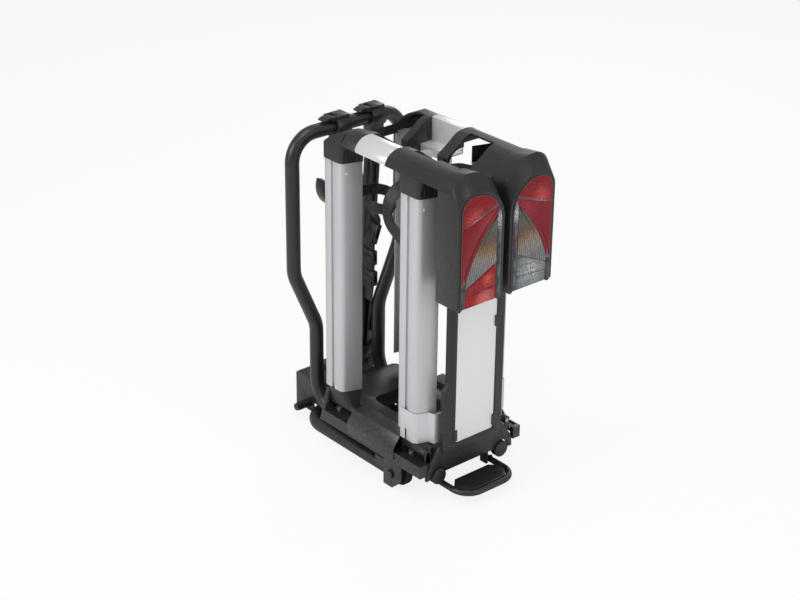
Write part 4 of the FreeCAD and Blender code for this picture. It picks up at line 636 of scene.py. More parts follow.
@dataclass(frozen=True)
class Drawn(Finish):
    """Anodised or bare metal with fine drawing lines."""

    metallic: float = 0.85
    depth: float = 0.12
    spread: float = 0.14
    dark: float = 0.93
    stretch: Point = (2600, 2600, 9)

    def build(self) -> Material:
        """Lines in the gloss, the normal and faintly in the colour."""
        material, tree, shader = self.open()
        lines = Effects.put(
            tree, "drawn_lines", Stretch=self.stretch, Depth=self.depth, Roughness=self.roughness,
            Spread=self.spread,
        )
        base = Effects.put(tree, "mottle", Colour=self.colour, Shift=0.06, Dust=0.0)
        deep = tuple(c * self.dark for c in self.colour)
        share = tree.span(lines.outputs["Mask"], 0.35, 0.75)
        tree.feed(shader, {
            "Base Color": tree.blend(share, deep, base.outputs["Colour"]), "Metallic": self.metallic,
            "Roughness": lines.outputs["Roughness"], "Normal": lines.outputs["Normal"],
        })
        return material


@dataclass(frozen=True)
class Band(Finish):
    """Soft black strap plastic."""

    depth: float = 0.35
    rubbed: Colour = (0.09, 0.09, 0.092)
    wear: float = 0.6

    def build(self) -> Material:
        """Scuffed skin with paler rubbed ridges."""
        material, tree, shader = self.open()
        skin = Effects.put(tree, "strap_skin", Depth=self.depth, Roughness=self.roughness)
        worn = Effects.put(tree, "edge_wear", Colour=self.colour, Rubbed=self.rubbed, Amount=self.wear)
        tree.feed(shader, {
            "Base Color": worn.outputs["Colour"], "Roughness": skin.outputs["Roughness"],
            "Normal": skin.outputs["Normal"],
        })
        return material


@dataclass(frozen=True)
class Optic(Finish):
    """Coloured lamp plastic with prisms moulded into it, painted shade in the prism valleys and a painted
    highlight where the lamp sits.
    """

    pitch: float = 0.004
    ratio: float = 1.0
    tilt: float = 0.0
    depth: float = 0.8
    # The darkest tone: painted shade in the prism valleys, and the colour of the streaks.
    deep: Colour = (0.1, 0.0, 0.0)
    # Colour of the painted highlight and its centre; reach, core, sparkles and sparkle_shape set its size and
    # its glints.
    bright: Colour = (1.0, 0.2, 0.15)
    spot: Flat = (0.092, 0.690)
    reach: float = 0.03
    streak: Point = (60, 60, 520)
    streaked: float = 0.8
    coat: float = 0.22
    haze: float = 0.03
    core: float = 0.004
    sparkles: float = 310
    sparkle_shape: Point = (1, 1, 2.2)

    def tone(self, tree: Tree, mask: Socket) -> Socket:
        """Colour over the lens: painted shade in the prism valleys, dark streaks, and a painted highlight
        near the lamp.
        """
        # Painted highlight: bright colour around a centre on each wing, fading from core to reach and broken
        # into glints; the lens gives no light.
        x, _, z = tree.axes(tree.place())
        across = tree.math("SUBTRACT", tree.math("ABSOLUTE", x), self.spot[0])
        up = tree.math("SUBTRACT", z, self.spot[1])
        squares = tree.math("ADD", tree.math("POWER", across, 2), tree.math("POWER", up, 2))
        distance = tree.math("SQRT", squares)
        glow = tree.span(distance, self.reach, self.core)
        sparkle = tree.span(tree.noise(self.sparkles, 4, tree.stretched(self.sparkle_shape)), 0.42, 0.62)
        painted_light = tree.math("MULTIPLY", glow, sparkle)
        # Painted shade: the deep colour fills the prism valleys.
        base = tree.blend(mask, self.deep, self.colour)
        lines = tree.span(tree.noise(1.0, 3, tree.stretched(self.streak)), 0.5, 0.62, 0, self.streaked)
        return tree.blend(painted_light, tree.blend(lines, base, self.deep), self.bright)

    def build(self) -> Material:
        """Relief, tone and a clear coat."""
        material, tree, shader = self.open()
        relief = Effects.put(
            tree, "lens_prisms", Pitch=self.pitch, Ratio=self.ratio, Tilt=self.tilt, Depth=self.depth
        )
        tree.feed(shader, {
            "Base Color": self.tone(tree, relief.outputs["Mask"]), "Normal": relief.outputs["Normal"],
            "Coat Weight": self.coat, "Coat Roughness": self.haze,
        })
        return material


@dataclass(frozen=True)
class Indicator(Optic):
    """Clear optic with a silvered bowl behind it: a painted reflection of the bowl, grey above and pale
    below, around the amber lamp colour in the middle.
    """

    # Colours by height: the amber lamp colour between a painted pale reflection below and a painted grey
    # reflection above; low, high, sway, waves and lean place the bands.
    stops: tuple[tuple[float, Colour], ...] = ()
    low: float = 0.54
    high: float = 0.69
    sway: float = 0.03
    waves: float = 34
    lean: float = -0.25

    def tone(self, tree: Tree, mask: Socket) -> Socket:
        """Colour by height: the amber lamp colour between a painted reflection, pale below and grey above,
        broken up by the prisms with painted shade in their valleys.
        """
        where = tree.place()
        x, _, z = tree.axes(where)
        lean = tree.math("MULTIPLY", tree.math("ABSOLUTE", x), self.lean)
        height = tree.math("ADD", tree.swing(z, tree.noise(self.waves, 3, where), self.sway), lean)
        # The amber is the lamp's own colour; the pale band below and the grey above are a painted reflection
        # of the silvered bowl.
        ramp = tree.add("ShaderNodeValToRGB", {0: tree.span(height, self.low, self.high)})
        bar = ramp.color_ramp.elements
        while len(bar) < len(self.stops):
            bar.new(0.5)
        for element, (place, colour) in zip(bar, self.stops):
            element.position = place
            element.color = (*colour, 1)
        lines = tree.span(tree.noise(1.0, 3, tree.stretched(self.streak)), 0.42, 0.6, 0, self.streaked)
        # Painted shade in the prism valleys over the colours by height.
        painted_light = tree.blend(mask, self.deep, ramp.outputs[0])
        return tree.blend(lines, painted_light, self.deep)


@dataclass(frozen=True)
class PlateSheet(Finish):
    """White retroreflective sheet under a clear film."""

    cells: float = 620

    def build(self) -> Material:
        """Fine cells in the normal and the tone."""
        material, tree, shader = self.open()
        cells = tree.add(
            "ShaderNodeTexVoronoi", {"Scale": self.cells, "Vector": tree.place()}, feature="F1"
        ).outputs["Distance"]
        tone = tree.gain(self.colour, tree.span(cells, 0.1, 0.7, 1.0, 0.95))
        tree.feed(shader, {
            "Base Color": tone, "Normal": tree.bump(cells, 0.06, 0.0003), "Coat Weight": 0.3,
            "Coat Roughness": 0.15,
        })
        return material


class Paintbox:
    """All finishes of the carrier, made on first use."""

    SHEET: dict[str, Finish] = {
        finish.name: finish
        for finish in (
            Painted("black_powder_coat", (0.013, 0.013, 0.0135), 0.38, 0.45, scale=520, depth=0.14, wear=0.2),
            Painted("black_sheet_metal", (0.014, 0.014, 0.0145), 0.40, 0.45, scale=640, depth=0.14, wear=0.3),
            Moulded(
                "grained_black_plastic", (0.017, 0.017, 0.0175), 0.42, 0.45, scale=1300, depth=0.12,
                wear=0.2, dust=0.03,
            ),
            Moulded(
                "smooth_black_plastic", (0.013, 0.013, 0.0135), 0.34, 0.45, scale=1500, depth=0.08, wear=0.3,
            ),
            Moulded("deep_black_plastic", (0.010, 0.010, 0.011), 0.5, 0.4, scale=1100, depth=0.2, wear=0.1),
            Moulded("rubber", (0.018, 0.018, 0.018), 0.75, 0.3, scale=800, depth=0.4, wear=0.2),
            Moulded("tyre", (0.020, 0.020, 0.021), 0.7, 0.35, scale=600, depth=0.5, wear=0.4, dust=0.3),
            Band("strap_plastic", (0.009, 0.009, 0.0095), 0.4, 0.5),
            Drawn("satin_aluminium", (0.62, 0.63, 0.65), 0.42, 0.5, metallic=0.4),
            Drawn(
                "bright_aluminium", (0.80, 0.81, 0.83), 0.30, 0.5, metallic=0.5, depth=0.05,
                stretch=(2600, 9, 2600),
            ),
            Drawn("sheet_zinc", (0.66, 0.67, 0.69), 0.36, 0.5, metallic=0.5, depth=0.08),
            Drawn("zinc_bolt", (0.50, 0.52, 0.66), 0.28, 0.5, metallic=0.8, depth=0.1),
            Drawn("bright_rivet", (0.85, 0.85, 0.86), 0.24, 0.5, metallic=0.3, depth=0.02),
            Drawn("dark_aluminium", (0.014, 0.014, 0.015), 0.36, 0.5, metallic=0.2, depth=0.12),
            Drawn("silvered_bowl", (0.62, 0.64, 0.66), 0.22, 0.5, metallic=0.9, depth=0.2),
            PlateSheet("white_plate_sheet", (0.90, 0.90, 0.91), 0.35),
            # Lens finishes: the deep colour is painted shade in the prism valleys; the bright colour is a
            # painted highlight where the lamp sits.
            Optic(
                "red_tail_lens", (0.60, 0.006, 0.016), 0.2, 0.15, pitch=0.0035, deep=(0.20, 0.001, 0.006),
                bright=(1.0, 0.14, 0.12), reach=0.030,
            ),
            Optic(
                "red_reflex_lens", (0.30, 0.005, 0.014), 0.24, 0.15, pitch=0.0016, depth=0.2, tilt=0.78,
                deep=(0.20, 0.003, 0.010), bright=(0.42, 0.03, 0.04), spot=(0.05, 0.675), reach=0.04,
                streak=(90, 90, 90), streaked=0.3,
            ),
            Optic(
                "red_fog_lens", (0.70, 0.003, 0.010), 0.18, 0.15, pitch=0.0042, depth=0.6,
                deep=(0.18, 0.0, 0.004), bright=(1.0, 0.16, 0.06), spot=(0.052, 0.545), reach=0.018,
                streak=(420, 420, 40),
            ),
            Optic(
                "red_band_lens", (0.78, 0.022, 0.026), 0.18, 0.15, pitch=0.0050, tilt=0.785, depth=0.8,
                deep=(0.26, 0.0, 0.006), bright=(1.0, 0.34, 0.34), spot=(0.06, 0.505), reach=0.03,
            ),
            Optic(
                "clear_prism_lens", (0.44, 0.50, 0.53), 0.12, 0.3, pitch=0.0046, ratio=0.7, depth=1.0,
                deep=(0.05, 0.06, 0.07), bright=(0.92, 0.95, 0.96), spot=(0.07, 0.530), reach=0.05,
            ),
            Optic(
                "clear_side_lens", (0.12, 0.15, 0.165), 0.08, 0.3, pitch=0.009, ratio=4, depth=0.5,
                deep=(0.02, 0.028, 0.035), bright=(0.80, 0.84, 0.86), spot=(0.022, 0.672), reach=0.032,
                streak=(40, 40, 24), streaked=0.9,
            ),
            Optic(
                "lens_edge", (0.22, 0.12, 0.13), 0.1, 0.3, pitch=0.003, depth=0.1, deep=(0.12, 0.05, 0.06),
                bright=(0.5, 0.4, 0.4), streaked=0.1,
            ),
            Indicator(
                "amber_prism_lens", (0.6, 0.6, 0.6), 0.14, pitch=0.0052, ratio=0.62, tilt=0.2, depth=1.0,
                deep=(0.05, 0.05, 0.045), streak=(560, 560, 40), streaked=0.5,
                # Pale stops below and grey stops above: a painted reflection of the silvered bowl; the orange
                # stop is the amber lamp's own colour.
                stops=(
                    (0.0, (0.62, 0.68, 0.70)), (0.24, (0.95, 0.82, 0.72)), (0.38, (1.0, 0.42, 0.05)),
                    (0.50, (0.40, 0.10, 0.02)), (0.64, (0.22, 0.19, 0.14)), (1.0, (0.24, 0.25, 0.22)),
                ),
            ),
        )
    }
    made: dict[str, Material] = {}

    @classmethod
    def get(cls, name: str) -> Material:
        """The material of a finish."""
        if name not in cls.made:
            cls.made[name] = cls.SHEET[name].build()
        return cls.made[name]

    @classmethod
    def dress(cls, piece: Piece, name: str) -> None:
        """Gives a piece one finish."""
        piece.data.materials.clear()
        piece.data.materials.append(cls.get(name))


def hand_over(piece: Piece, body: str, finish: str, replaces: Sequence[str] = ()) -> None:
    """Dresses a finished piece and hangs it on its CAD body.

    Args:
        piece: The piece, with its place in its mesh.
        body: CAD body that carries it.
        finish: Name of its finish.
        replaces: CAD nodes that it stands for.
    """
    Paintbox.dress(piece, finish)
    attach(piece, body)
    if replaces:
        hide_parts(*replaces)
    LOG.info("%s: %d faces on %s", piece.name, len(piece.data.polygons), body)


def on_both_wings(piece: Piece, stem: str, finish: str, slot: str, replaces: Sequence[str] = ()) -> None:
    """Hands over a near-wing piece and its mirrored twin."""
    twin = Bench.mirrored(piece, f"{stem}_far")
    piece.name = f"{stem}_near"
    for side, each in ((Side.NEAR, piece), (Side.FAR, twin)):
        stood_for = [f"{node}_{side.label}" for node in replaces]
        hand_over(each, f"wing_{side.label}", finish, stood_for)


# Sub-assemblies


def both(*stems: str) -> tuple[str, ...]:
    """Names of the near and the far node of each stem."""
    return tuple(f"{stem}_{side.label}" for stem in stems for side in Side)


@dataclass
class CadNodes:
    """CAD nodes, each with its finish; most are shown with their edges rounded."""

    nodes: dict[str, Piece]

    ROUNDINGS = {
        0.35: (
            *both("channel"), "hinge_covers", "pivot_plates", "axle_straps", "pedal_ears",
            *both("sheet_bracket"), "cross_beams", "number_plate",
        ),
        0.5: (*both("front_rail", "rear_rail", "cross_profile"), "pedal_pad", "rear_panel"),
        0.8: (
            "deck", *both("rail_feet"), "short_arm", "long_arm", "plate_holder",
            *both("clamp", "clamp_lever"), "tube_caps",
        ),
        1.3: ("coupling_housing", "coupling_lever", *both("claw")),
    }
    FINISHES = {
        "black_powder_coat": ("support_frame", "lower_frame", "pedal_bar", "cross_beams"),
        "black_sheet_metal": (
            *both("channel"), "hinge_covers", "pivot_plates", "axle_straps", "pedal_ears",
        ),
        "grained_black_plastic": (
            "coupling_housing", "tube_caps", "deck", "rear_panel", "plate_holder", *both("rail_feet"),
            "pedal_pad",
        ),
        "smooth_black_plastic": (
            *both("clamp", "clamp_lever"), "adjuster_knob", "coupling_lever", *both("claw"),
        ),
        "rubber": ("rest_buffers",),
        "tyre": both("wheel"),
        "satin_aluminium": both("front_rail", "rear_rail"),
        "bright_aluminium": both("cross_profile"),
        "sheet_zinc": both("sheet_bracket"),
        "zinc_bolt": ("platform_fasteners", "ball_socket"),
        "bright_rivet": both("rivets"),
        "dark_aluminium": ("short_arm", "long_arm"),
        "silvered_bowl": both("lamp_tray"),
        "white_plate_sheet": ("number_plate",),
    }
    SLOTS = {
        "black_powder_coat": "black_tube", "black_sheet_metal": "black_sheet",
        "grained_black_plastic": "black_plastic", "smooth_black_plastic": "black_plastic",
        "satin_aluminium": "aluminium", "bright_aluminium": "aluminium", "sheet_zinc": "aluminium",
        "dark_aluminium": "black_aluminium", "white_plate_sheet": "plate",
    }

    def build(self) -> None:
        """Dresses every node, and shows rounded copies of those that have a rounding."""
        widths = {name: width for width, names in self.ROUNDINGS.items() for name in names}
        for finish, names in self.FINISHES.items():
            for name in names:
                node = self.nodes[name]
                if name in widths:
                    piece = Bench.from_node(node, f"{name}_rounded")
                    Bench.soften(piece, widths[name])
                    hand_over(piece, node["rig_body"], finish, (name,))
                else:
                    Paintbox.dress(node, finish)
        LOG.info("%d CAD nodes dressed", len(self.nodes))


@dataclass
class ArmHoods:
    """The moulded arms on top of the rails: front corners and light housings, pierced as moulded."""

    nodes: dict[str, Piece]
    rounding: float = 0.8
    slit_x: Flat = (-131, -115)
    slit_half: float = 1.3
    slit_top: float = 790
    housing_slits: tuple[float, ...] = (-148, -188)
    housing_slit_low: float = 763
    corner_slit: float = 68
    corner_slit_low: float = 750

    def slit(self, y: float, low: float) -> Piece:
        """A cutter for one narrow slit across the arm."""
        x0, x1 = self.slit_x
        return Bench.block("slit", (x0, y - self.slit_half, low), (x1, y + self.slit_half, self.slit_top))

    def housing(self) -> Piece:
        """Near light housing with its two short slits."""
        piece = Bench.soften(Bench.from_node(self.nodes["light_housing_near"], "housing"), self.rounding)
        Bench.carve(piece, *(self.slit(y, self.housing_slit_low) for y in self.housing_slits))
        return Bench.shade(piece)

    def corner(self) -> Piece:
        """Near front corner with its slit."""
        piece = Bench.soften(Bench.from_node(self.nodes["front_corner_near"], "corner"), self.rounding)
        Bench.carve(piece, self.slit(self.corner_slit, self.corner_slit_low))
        return Bench.shade(piece)

    def build(self) -> None:
        """Builds the hoods of both wings."""
        plastic = ("grained_black_plastic", "black_plastic")
        on_both_wings(self.housing(), "light_housing_moulded", *plastic, ("light_housing",))
        on_both_wings(self.corner(), "front_corner_moulded", *plastic, ("front_corner",))


STRAP_WIDTH = 24.0
STRAP_THICKNESS = 2.6
UPRIGHT: Point = (0, 0, 1)
LEVEL: Point = (0, 1, 0)


@dataclass
class ToothedStrap:
    """A toothed band along given stations: a place and the way its width runs, in millimetres."""

    stations: Sequence[tuple[Point, Point]]
    width: float = STRAP_WIDTH
    thick: float = STRAP_THICKNESS
    tooth: float = 0.9
    pitch: float = 4.6
    border: float = 2.4
    slope: float = 0.4
    valley: float = 0.08
    outward: float = -1.0
    samples: int = 90
    smooth_angle: float = 25

    def stretch(self) -> list[tuple[Vector, Vector]]:
        """Places and width directions along the band, a quarter of a tooth apart."""
        line = smooth_line([mm(place) for place, _ in self.stations], self.samples)
        sides = smooth_line([Vector(across) for _, across in self.stations], self.samples)
        step = self.pitch / 4 * MM
        kept, gone = [(line[0], sides[0])], 0.0
        for k in range(1, len(line)):
            gone += (line[k] - line[k - 1]).length
            if gone >= step:
                kept.append((line[k], sides[k]))
                gone -= step
        return kept

    def section(self, rise: float) -> list[Flat]:
        """Outline across the band, with its toothed face raised by a height."""
        half, flat, lip = self.width / 2, self.thick / 2, self.width / 2 - self.border
        crown = lip - self.slope
        corners = [
            (-half, -flat), (half, -flat), (half, flat), (lip, flat), (crown, flat + rise),
            (-crown, flat + rise), (-lip, flat), (-half, flat),
        ]
        return [(a * MM, b * MM) for a, b in corners]

    def build(self, name: str) -> Piece:
        """Bridges the sections into a closed band."""
        kept = self.stretch()
        last = len(kept) - 1
        corners: list[Vector] = []
        faces: list[tuple[int, ...]] = []
        for k, (place, across) in enumerate(kept):
            ahead = (kept[min(k + 1, last)][0] - kept[max(k - 1, 0)][0]).normalized()
            side = (across - ahead * across.dot(ahead)).normalized()
            out = ahead.cross(side) * self.outward
            ring = self.section(self.tooth if k % 4 in (1, 2) else self.valley)
            corners += [place + side * a + out * b for a, b in ring]
            count = len(ring)
            if k:
                here, back = k * count, (k - 1) * count
                faces += [
                    (back + i, back + (i + 1) % count, here + (i + 1) % count, here + i) for i in range(count)
                ]
        faces += [tuple(range(count)), tuple(last * count + i for i in range(count))]
        return Bench.shade(Bench.turn_out(Bench.from_faces(name, corners, faces)), self.smooth_angle)


@dataclass
class Buckle:
    """A ratchet buckle with a slot for its strap and a ribbed thumb lever, turned about Y."""

    place: Point
    turn: float
    length: float
    width: float
    height: float
    rounding: float = 2.4
    reach: float = 7
    lever_inset: float = 3
    ribs: int = 5
    rib_pitch: float = 2.4
    rib_width: float = 1.1
    rib_inset: float = 6

    def lever(self) -> list[Piece]:
        """The dished thumb lever on top, with ribs at its end."""
        a, b, c = self.length / 2, self.width / 2, self.height / 2
        side, end = b - self.lever_inset, b - self.rib_inset
        lever = Bench.block("lever", (-a - self.reach, -side, c - 1), (a / 3, side, c + 3))
        Bench.dish(lever, lambda face: face.normal.z > 0.9, 2.4, 0.9)
        Bench.soften(lever, 0.8)
        ribs = []
        for k in range(self.ribs):
            x = -a - 4 + self.rib_pitch * k
            rib = Bench.block(f"rib_{k}", (x, -end, c + 1.6), (x + self.rib_width, end, c + 2.9))
            ribs.append(Bench.soften(rib, 0.3))
        return [lever, *ribs]

    def build(self, name: str) -> Piece:
        """Cuts the slots out of a rounded body and seats the lever on it."""
        a, b, c = self.length / 2, self.width / 2, self.height / 2
        body = Bench.soften(Bench.block(name, (-a, -b, -c), (a, b, c)), self.rounding, 3)
        room, half = STRAP_THICKNESS / 2 + 1.4, STRAP_WIDTH / 2 + 1
        Bench.carve(
            body,
            Bench.block("window", (-a * 0.4, -b * 2, -c * 0.4), (a * 0.5, b * 2, c * 0.4)),
            Bench.block("slot", (-a * 2, -half, -room), (a * 2, half, room)),
        )
        piece = Bench.join(name, [body, *self.lever()])
        turned = Matrix.Translation(mm(self.place)) @ Matrix.Rotation(math.radians(self.turn), 4, "Y")
        piece.data.transform(turned)
        return Bench.shade(piece)


@dataclass
class WheelStraps:
    """The straps that hold the wheels in the gutters of both wings, as left hanging when folded."""

    root: float = -122.1

    def front(self) -> Piece:
        """Loop across the gutter, and the tail that hangs from it."""
        loop = ToothedStrap([
            ((self.root, 99, 612), UPRIGHT), ((-100, 97, 613), UPRIGHT), ((-70, 84, 618), UPRIGHT),
            ((-34, 66, 620), UPRIGHT), ((-16, 38, 614), UPRIGHT), ((-30, 8, 606), UPRIGHT),
            ((-58, -3, 600), UPRIGHT), ((-76, 20, 602), UPRIGHT), ((-78, 46, 604), UPRIGHT),
        ])
        tail = ToothedStrap([
            ((-78, 38, 603), LEVEL), ((-57, 38, 566), LEVEL), ((-67, 38, 535), LEVEL),
            ((-76, 38, 512), LEVEL), ((-74, 37, 484), LEVEL), ((-74, 37, 450), LEVEL),
            ((-74, 37, 430), LEVEL), ((-76, 42, 377), LEVEL),
        ])
        return Bench.join("wheel_strap_front", [loop.build("loop"), tail.build("tail")])

    def rear(self) -> Piece:
        """Wide band that bows out of the gutter and comes back lower down."""
        return ToothedStrap([
            ((self.root, -150, 690), UPRIGHT), ((-98, -142, 690), UPRIGHT), ((-76, -116, 688), UPRIGHT),
            ((-68, -84, 684), (0, 0.2, 1)), ((-68, -46, 664), (0, 0.7, 1)), ((-70, -16, 622), (0, 1, 0.4)),
            ((-72, -22, 580), (0, 1, -0.5)), ((-70, -66, 552), (0, 0.5, -1)), ((-76, -116, 544), (0, 0, -1)),
            ((-98, -142, 542), (0, 0, -1)), ((self.root, -150, 542), (0, 0, -1)),
        ], 30, 3).build("wheel_strap_rear")

    def build(self) -> None:
        """Builds the straps and buckles of both wings."""
        for end, make in (("front", self.front), ("rear", self.rear)):
            on_both_wings(make(), f"toothed_strap_{end}", "strap_plastic", "strap", (f"wheel_strap_{end}",))
        buckles = [
            Buckle((-67, 38, 535), -70, 44, 32, 13), Buckle((-74.5, 37, 481), -90, 34, 30, 15),
            Buckle((-74, 37, 432), -90, 34, 32, 15),
        ]
        parts = [buckle.build(f"buckle_{k}") for k, buckle in enumerate(buckles)]
        piece = Bench.join("strap_buckles", parts)
        on_both_wings(piece, "strap_buckles", "smooth_black_plastic", "black_plastic", ("wheel_buckles",))


@dataclass
class ClawStraps:
    """The straps of the two frame claws, each with its buckle."""

    centre: Flat = (-24, 588)
    depth: float = 208
    radius: float = 58.1

    angles: tuple[float, ...] = (250, 285, 320, 352, 385, 405)

    def hand(self, side: Side, stations: Sequence[tuple[Point, Point]], buckle: Buckle) -> None:
        """Builds the strap and the buckle of one claw."""
        end = side.label
        strap = ToothedStrap(stations).build(f"claw_strap_{end}_toothed")
        lock = buckle.build(f"claw_buckle_{end}")
        for piece, finish in ((strap, "strap_plastic"), (lock, "smooth_black_plastic")):
            hand_over(piece, f"frame_holder_{end}", finish, (f"claw_strap_{end}",))

    def build(self) -> None:
        """Straps across the mouth of the upper claw, and up the arm of the lower one."""
        mouth = []
        for angle in self.angles:
            a = math.radians(angle)
            x, z = self.centre[0] + self.radius * math.cos(a), self.centre[1] + self.radius * math.sin(a)
            mouth.append(((x, self.depth, z), LEVEL))
        self.hand(Side.NEAR, mouth, Buckle((-12, self.depth, 526), -12, 34, 28, 12))
        tucked = [
            ((107.6, 250, 108), LEVEL), ((107.6, 250, 136), LEVEL), ((102, 247, 190), LEVEL),
            ((97, 241, 250), LEVEL),
        ]
        self.hand(Side.FAR, tucked, Buckle((101, 246, 192), -84, 34, 28, 9))


@dataclass
class RearLights:
    """The moulded lens of each rear light: sectors on a pale edge, with screw bosses and lugs."""

    cap_front: float = -309
    sheet: float = 4.5
    edge_back: float = -299
    edge_margin: float = 8.2
    face_x: float = -133
    inner_x: float = -8
    bottom: float = 495
    margin: float = 9.6
    foot: float = 1.2
    shoulder_z: float = 706
    crest: Flat = (-86, 745)
    end_z: float = 678
    left_pull: Flat = (0.27, 0.73)
    right_pull: Flat = (0.68, 0.71)
    divider_z: float = 672
    divider_end: Flat = (-27, 704)
    bosses: tuple[Flat, ...] = ((-120.6, 675), (-21, 644))
    boss_radius: float = 2.6
    boss_depth: float = 2.6
    lugs: tuple[float, ...] = (-124, -17)
    lug_radius: float = 6.5
    lug_depth: float = 9

    def arch(self, margin: float) -> list[Flat]:
        """Outline of the lens at a margin, from its lower left corner over the top."""
        x0, x1 = self.face_x + margin, self.inner_x - margin
        shoulder, end = self.shoulder_z - margin * 0.2, self.end_z - margin * 0.4
        top, crest = self.crest[0], self.crest[1] - margin
        (lx, lz), (rx, rz) = self.left_pull, self.right_pull
        left = (x0 + (top - x0) * lx, shoulder + (crest - shoulder) * lz)
        right = (top + (x1 - top) * rx, end + (crest - end) * rz)
        low = self.bottom + self.foot
        return [
            (x0, low), *arc((x0, shoulder), left, (top, crest)), *arc((top, crest), right, (x1, end))[1:],
            (x1, low),
        ]

    def sectors(self) -> dict[str, list[Flat]]:
        """Outlines of the near light's optics in the XZ plane, in millimetres."""
        arch = self.arch(self.margin)
        left, right, low = arch[0][0], arch[-1][0], arch[0][1]
        slope = (self.divider_end[1] - self.divider_z) / (self.divider_end[0] - left)
        edge = self.divider_z + 0.5
        crown = [p for p in arch if p[1] > edge + (p[0] - left) * slope and p[0] > left + 0.01]
        sweep = arc((-23, 688), (-76, 629), (-112, 552), 18)
        return {
            "tail": [(left, self.divider_z), (left, 703), *crown[1:]],
            "reflex": [(left, 670), (-26, 701.5), *[(x - 8.5, z + 5.5) for x, z in sweep[1:-2]], (left, 550)],
            "reflex_band": [
                (-24, 702.5), *[(x - 1.2, z + 1.0) for x, z in sweep[1:]],
                *[(x - 7.6, z + 5.0) for x, z in reversed(sweep[1:-1])],
            ],
            "indicator": [(-30, 684), *sweep[1:], (-112, 541), (-33, 577), (-30, 579)],
            "fog": [(-112, 538), (-33, 574), (-30, 572), (-30, 527), (-112, 521)],
            "fog_band": [(-112, 519.5), (-30, 525.5), (-30, low), (-112, low)],
            "outer_strip": [(left, 543), (-113.5, 548), (-113.5, low), (left, low)],
            "inner_strip": [
                (right, 674), (-21.5, 692), (-24.5, 698), (-28.5, 684), (-28.5, low), (right, low),
            ],
        }

    def small_parts(self) -> None:
        """Screws in the sides of the lens, and the lugs under its corners."""
        front, back = self.cap_front, self.edge_back
        screws = []
        for k, (x, z) in enumerate(self.bosses):
            seat = (x, front + 1.4, z)
            screw = Bench.disc(f"screw_{k}", seat, (0, -1, 0), self.boss_radius, self.boss_depth, 20)
            Bench.dish(screw, lambda face: face.normal.y < -0.9, 0.8, 0.7)
            screws.append(Bench.soften(screw, 0.25))
        on_both_wings(Bench.join("lens_screws", screws), "lens_screws", "deep_black_plastic", "black_plastic")
        lugs = []
        for k, x in enumerate(self.lugs):
            centre = (x, (front + back) / 2 + 3, self.bottom + 1)
            lug = Bench.disc(f"lug_{k}", centre, (0, 1, 0), self.lug_radius, self.lug_depth)
            lugs.append(Bench.soften(lug, 1.2))
        on_both_wings(Bench.join("lens_lugs", lugs), "lens_lugs", "smooth_black_plastic", "black_plastic")

    def build(self) -> None:
        """Builds the lenses of both lights."""
        finishes = {
            "tail": ("red_tail_lens",) * 2, "reflex": ("red_reflex_lens",) * 2,
            "reflex_band": ("red_reflex_lens",) * 2, "indicator": ("amber_prism_lens",) * 2,
            "fog": ("red_fog_lens", "clear_prism_lens"), "fog_band": ("red_band_lens", "clear_prism_lens"),
            "outer_strip": ("clear_side_lens",) * 2, "inner_strip": ("clear_side_lens",) * 2,
        }
        edge = Bench.plan("lens_edge", self.arch(self.edge_margin), self.cap_front + 1.1, self.edge_back)
        Bench.soften(edge, 0.5, 2, 50)
        on_both_wings(edge, "lens_edge", "lens_edge", "lens", ("lens",))
        for name, outline in self.sectors().items():
            near = Bench.plan(f"{name}_optic_near", outline, self.cap_front, self.cap_front + self.sheet)
            Bench.soften(near, 0.7, 2, 50)
            far = Bench.mirrored(near, f"{name}_optic_far")
            for piece, side, finish in zip((near, far), Side, finishes[name]):
                hand_over(piece, f"wing_{side.label}", finish, (f"lens_{side.label}",))
        self.small_parts()


# Stage


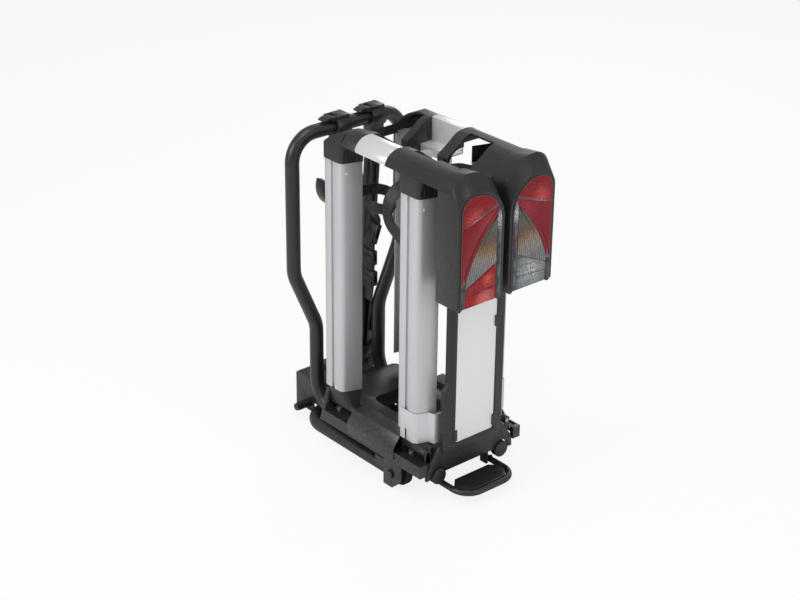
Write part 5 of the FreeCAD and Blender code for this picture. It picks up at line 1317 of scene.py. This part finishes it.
@dataclass
class Studio:
    """Floor, lamps, world and the camera at the photograph's angle."""

    place: Point = (-2.4145, -2.780, 2.1555)
    turn: Point = (40.73, 25.91, 0.64)
    lens: float = 83.57
    aim: Point = (0, 0, 0.4)
    white: Colour = (1, 1, 1)
    room_light: float = 0.46
    floor_tone: Colour = (0.86, 0.86, 0.86)
    floor_size: float = 30
    floor_gap: float = 0.0005
    floor_seen: float = 0.86
    lamps: tuple[tuple[str, Point, float, float], ...] = (
        ("key_lamp", (-2.8, 0.5, 2.0), 1.4, 40), ("top_lamp", (-0.4, -0.3, 3.2), 1.6, 26),
        ("rear_lamp", (0.6, -3.0, 1.6), 1.6, 20), ("rim_lamp", (2.4, 1.6, 2.0), 1.4, 18),
    )

    def camera(self) -> None:
        """A camera that looks down at the near rear corner."""
        heading, dip, roll = (math.radians(a) for a in self.turn)
        ahead = Vector(
            (math.sin(heading) * math.cos(dip), math.cos(heading) * math.cos(dip), -math.sin(dip))
        )
        level = Vector((math.cos(heading), -math.sin(heading), 0))
        above = level.cross(ahead)
        right = level * math.cos(roll) + above * math.sin(roll)
        up = above * math.cos(roll) - level * math.sin(roll)
        data = bpy.data.cameras.new("camera")
        data.lens = self.lens
        camera = Bench.show("camera", data)
        turned = Matrix((right, up, -ahead)).transposed().to_4x4()
        camera.matrix_world = Matrix.Translation(self.place) @ turned
        bpy.context.scene.camera = camera

    @staticmethod
    def seen(tree: Tree) -> Socket:
        """1 for what the camera sees, straight or through clear parts."""
        path = tree.add("ShaderNodeLightPath").outputs
        return tree.math("MAXIMUM", path["Is Camera Ray"], path["Is Transmission Ray"])

    def floor(self) -> None:
        """A wide pale floor that shows white to the camera and keeps a soft shadow."""
        bpy.ops.object.select_all(action="DESELECT")
        bpy.ops.mesh.primitive_plane_add(size=self.floor_size, location=(0, 0, -self.floor_gap))
        floor = bpy.context.object
        floor.name = "floor"
        material, tree, shader = Finish("pale_floor", self.floor_tone, 0.8, 0.1).open()
        shine = tree.add("ShaderNodeEmission", {0: self.white, 1: 1.0})
        share = tree.math("MULTIPLY", self.seen(tree), self.floor_seen)
        mix = tree.add("ShaderNodeMixShader", {0: share, 1: shader.outputs[0], 2: shine.outputs[0]})
        tree.feed(material.node_tree.nodes["Material Output"], {0: mix.outputs[0]})
        floor.data.materials.append(material)

    def world(self) -> None:
        """An even white room: plain light, and white behind everything."""
        world = bpy.data.worlds.new("studio")
        world.use_nodes = True
        bpy.context.scene.world = world
        tree = Tree(world.node_tree)
        glow = world.node_tree.nodes["Background"]
        tree.feed(glow, {0: self.white, 1: self.room_light})
        white = tree.add("ShaderNodeBackground", {0: self.white, 1: 1.0})
        shaders = {0: self.seen(tree), 1: glow.outputs[0], 2: white.outputs[0]}
        mix = tree.add("ShaderNodeMixShader", shaders)
        tree.feed(world.node_tree.nodes["World Output"], {0: mix.outputs[0]})

    def lamp(self, name: str, place: Point, size: float, power: float) -> None:
        """A soft square lamp aimed at the middle of the carrier."""
        data = bpy.data.lights.new(name, "AREA")
        data.size = size
        data.energy = power
        lamp = Bench.show(name, data)
        lamp.location = place
        lamp.rotation_euler = (Vector(self.aim) - Vector(place)).to_track_quat("-Z", "Y").to_euler()

    def build(self) -> None:
        """Sets up the whole stage."""
        self.camera()
        self.floor()
        self.world()
        for lamp in self.lamps:
            self.lamp(*lamp)
        bpy.context.scene.view_settings.view_transform = "Standard"


def main() -> None:
    """Builds the carrier's looks from its frame."""
    logging.basicConfig(level=logging.INFO, format="%(message)s")
    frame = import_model()
    Effects.make_all()
    Studio().build()
    CadNodes(frame["nodes"]).build()
    ArmHoods(frame["nodes"]).build()
    WheelStraps().build()
    ClawStraps().build()
    RearLights().build()


if __name__ == "__main__":
    main()
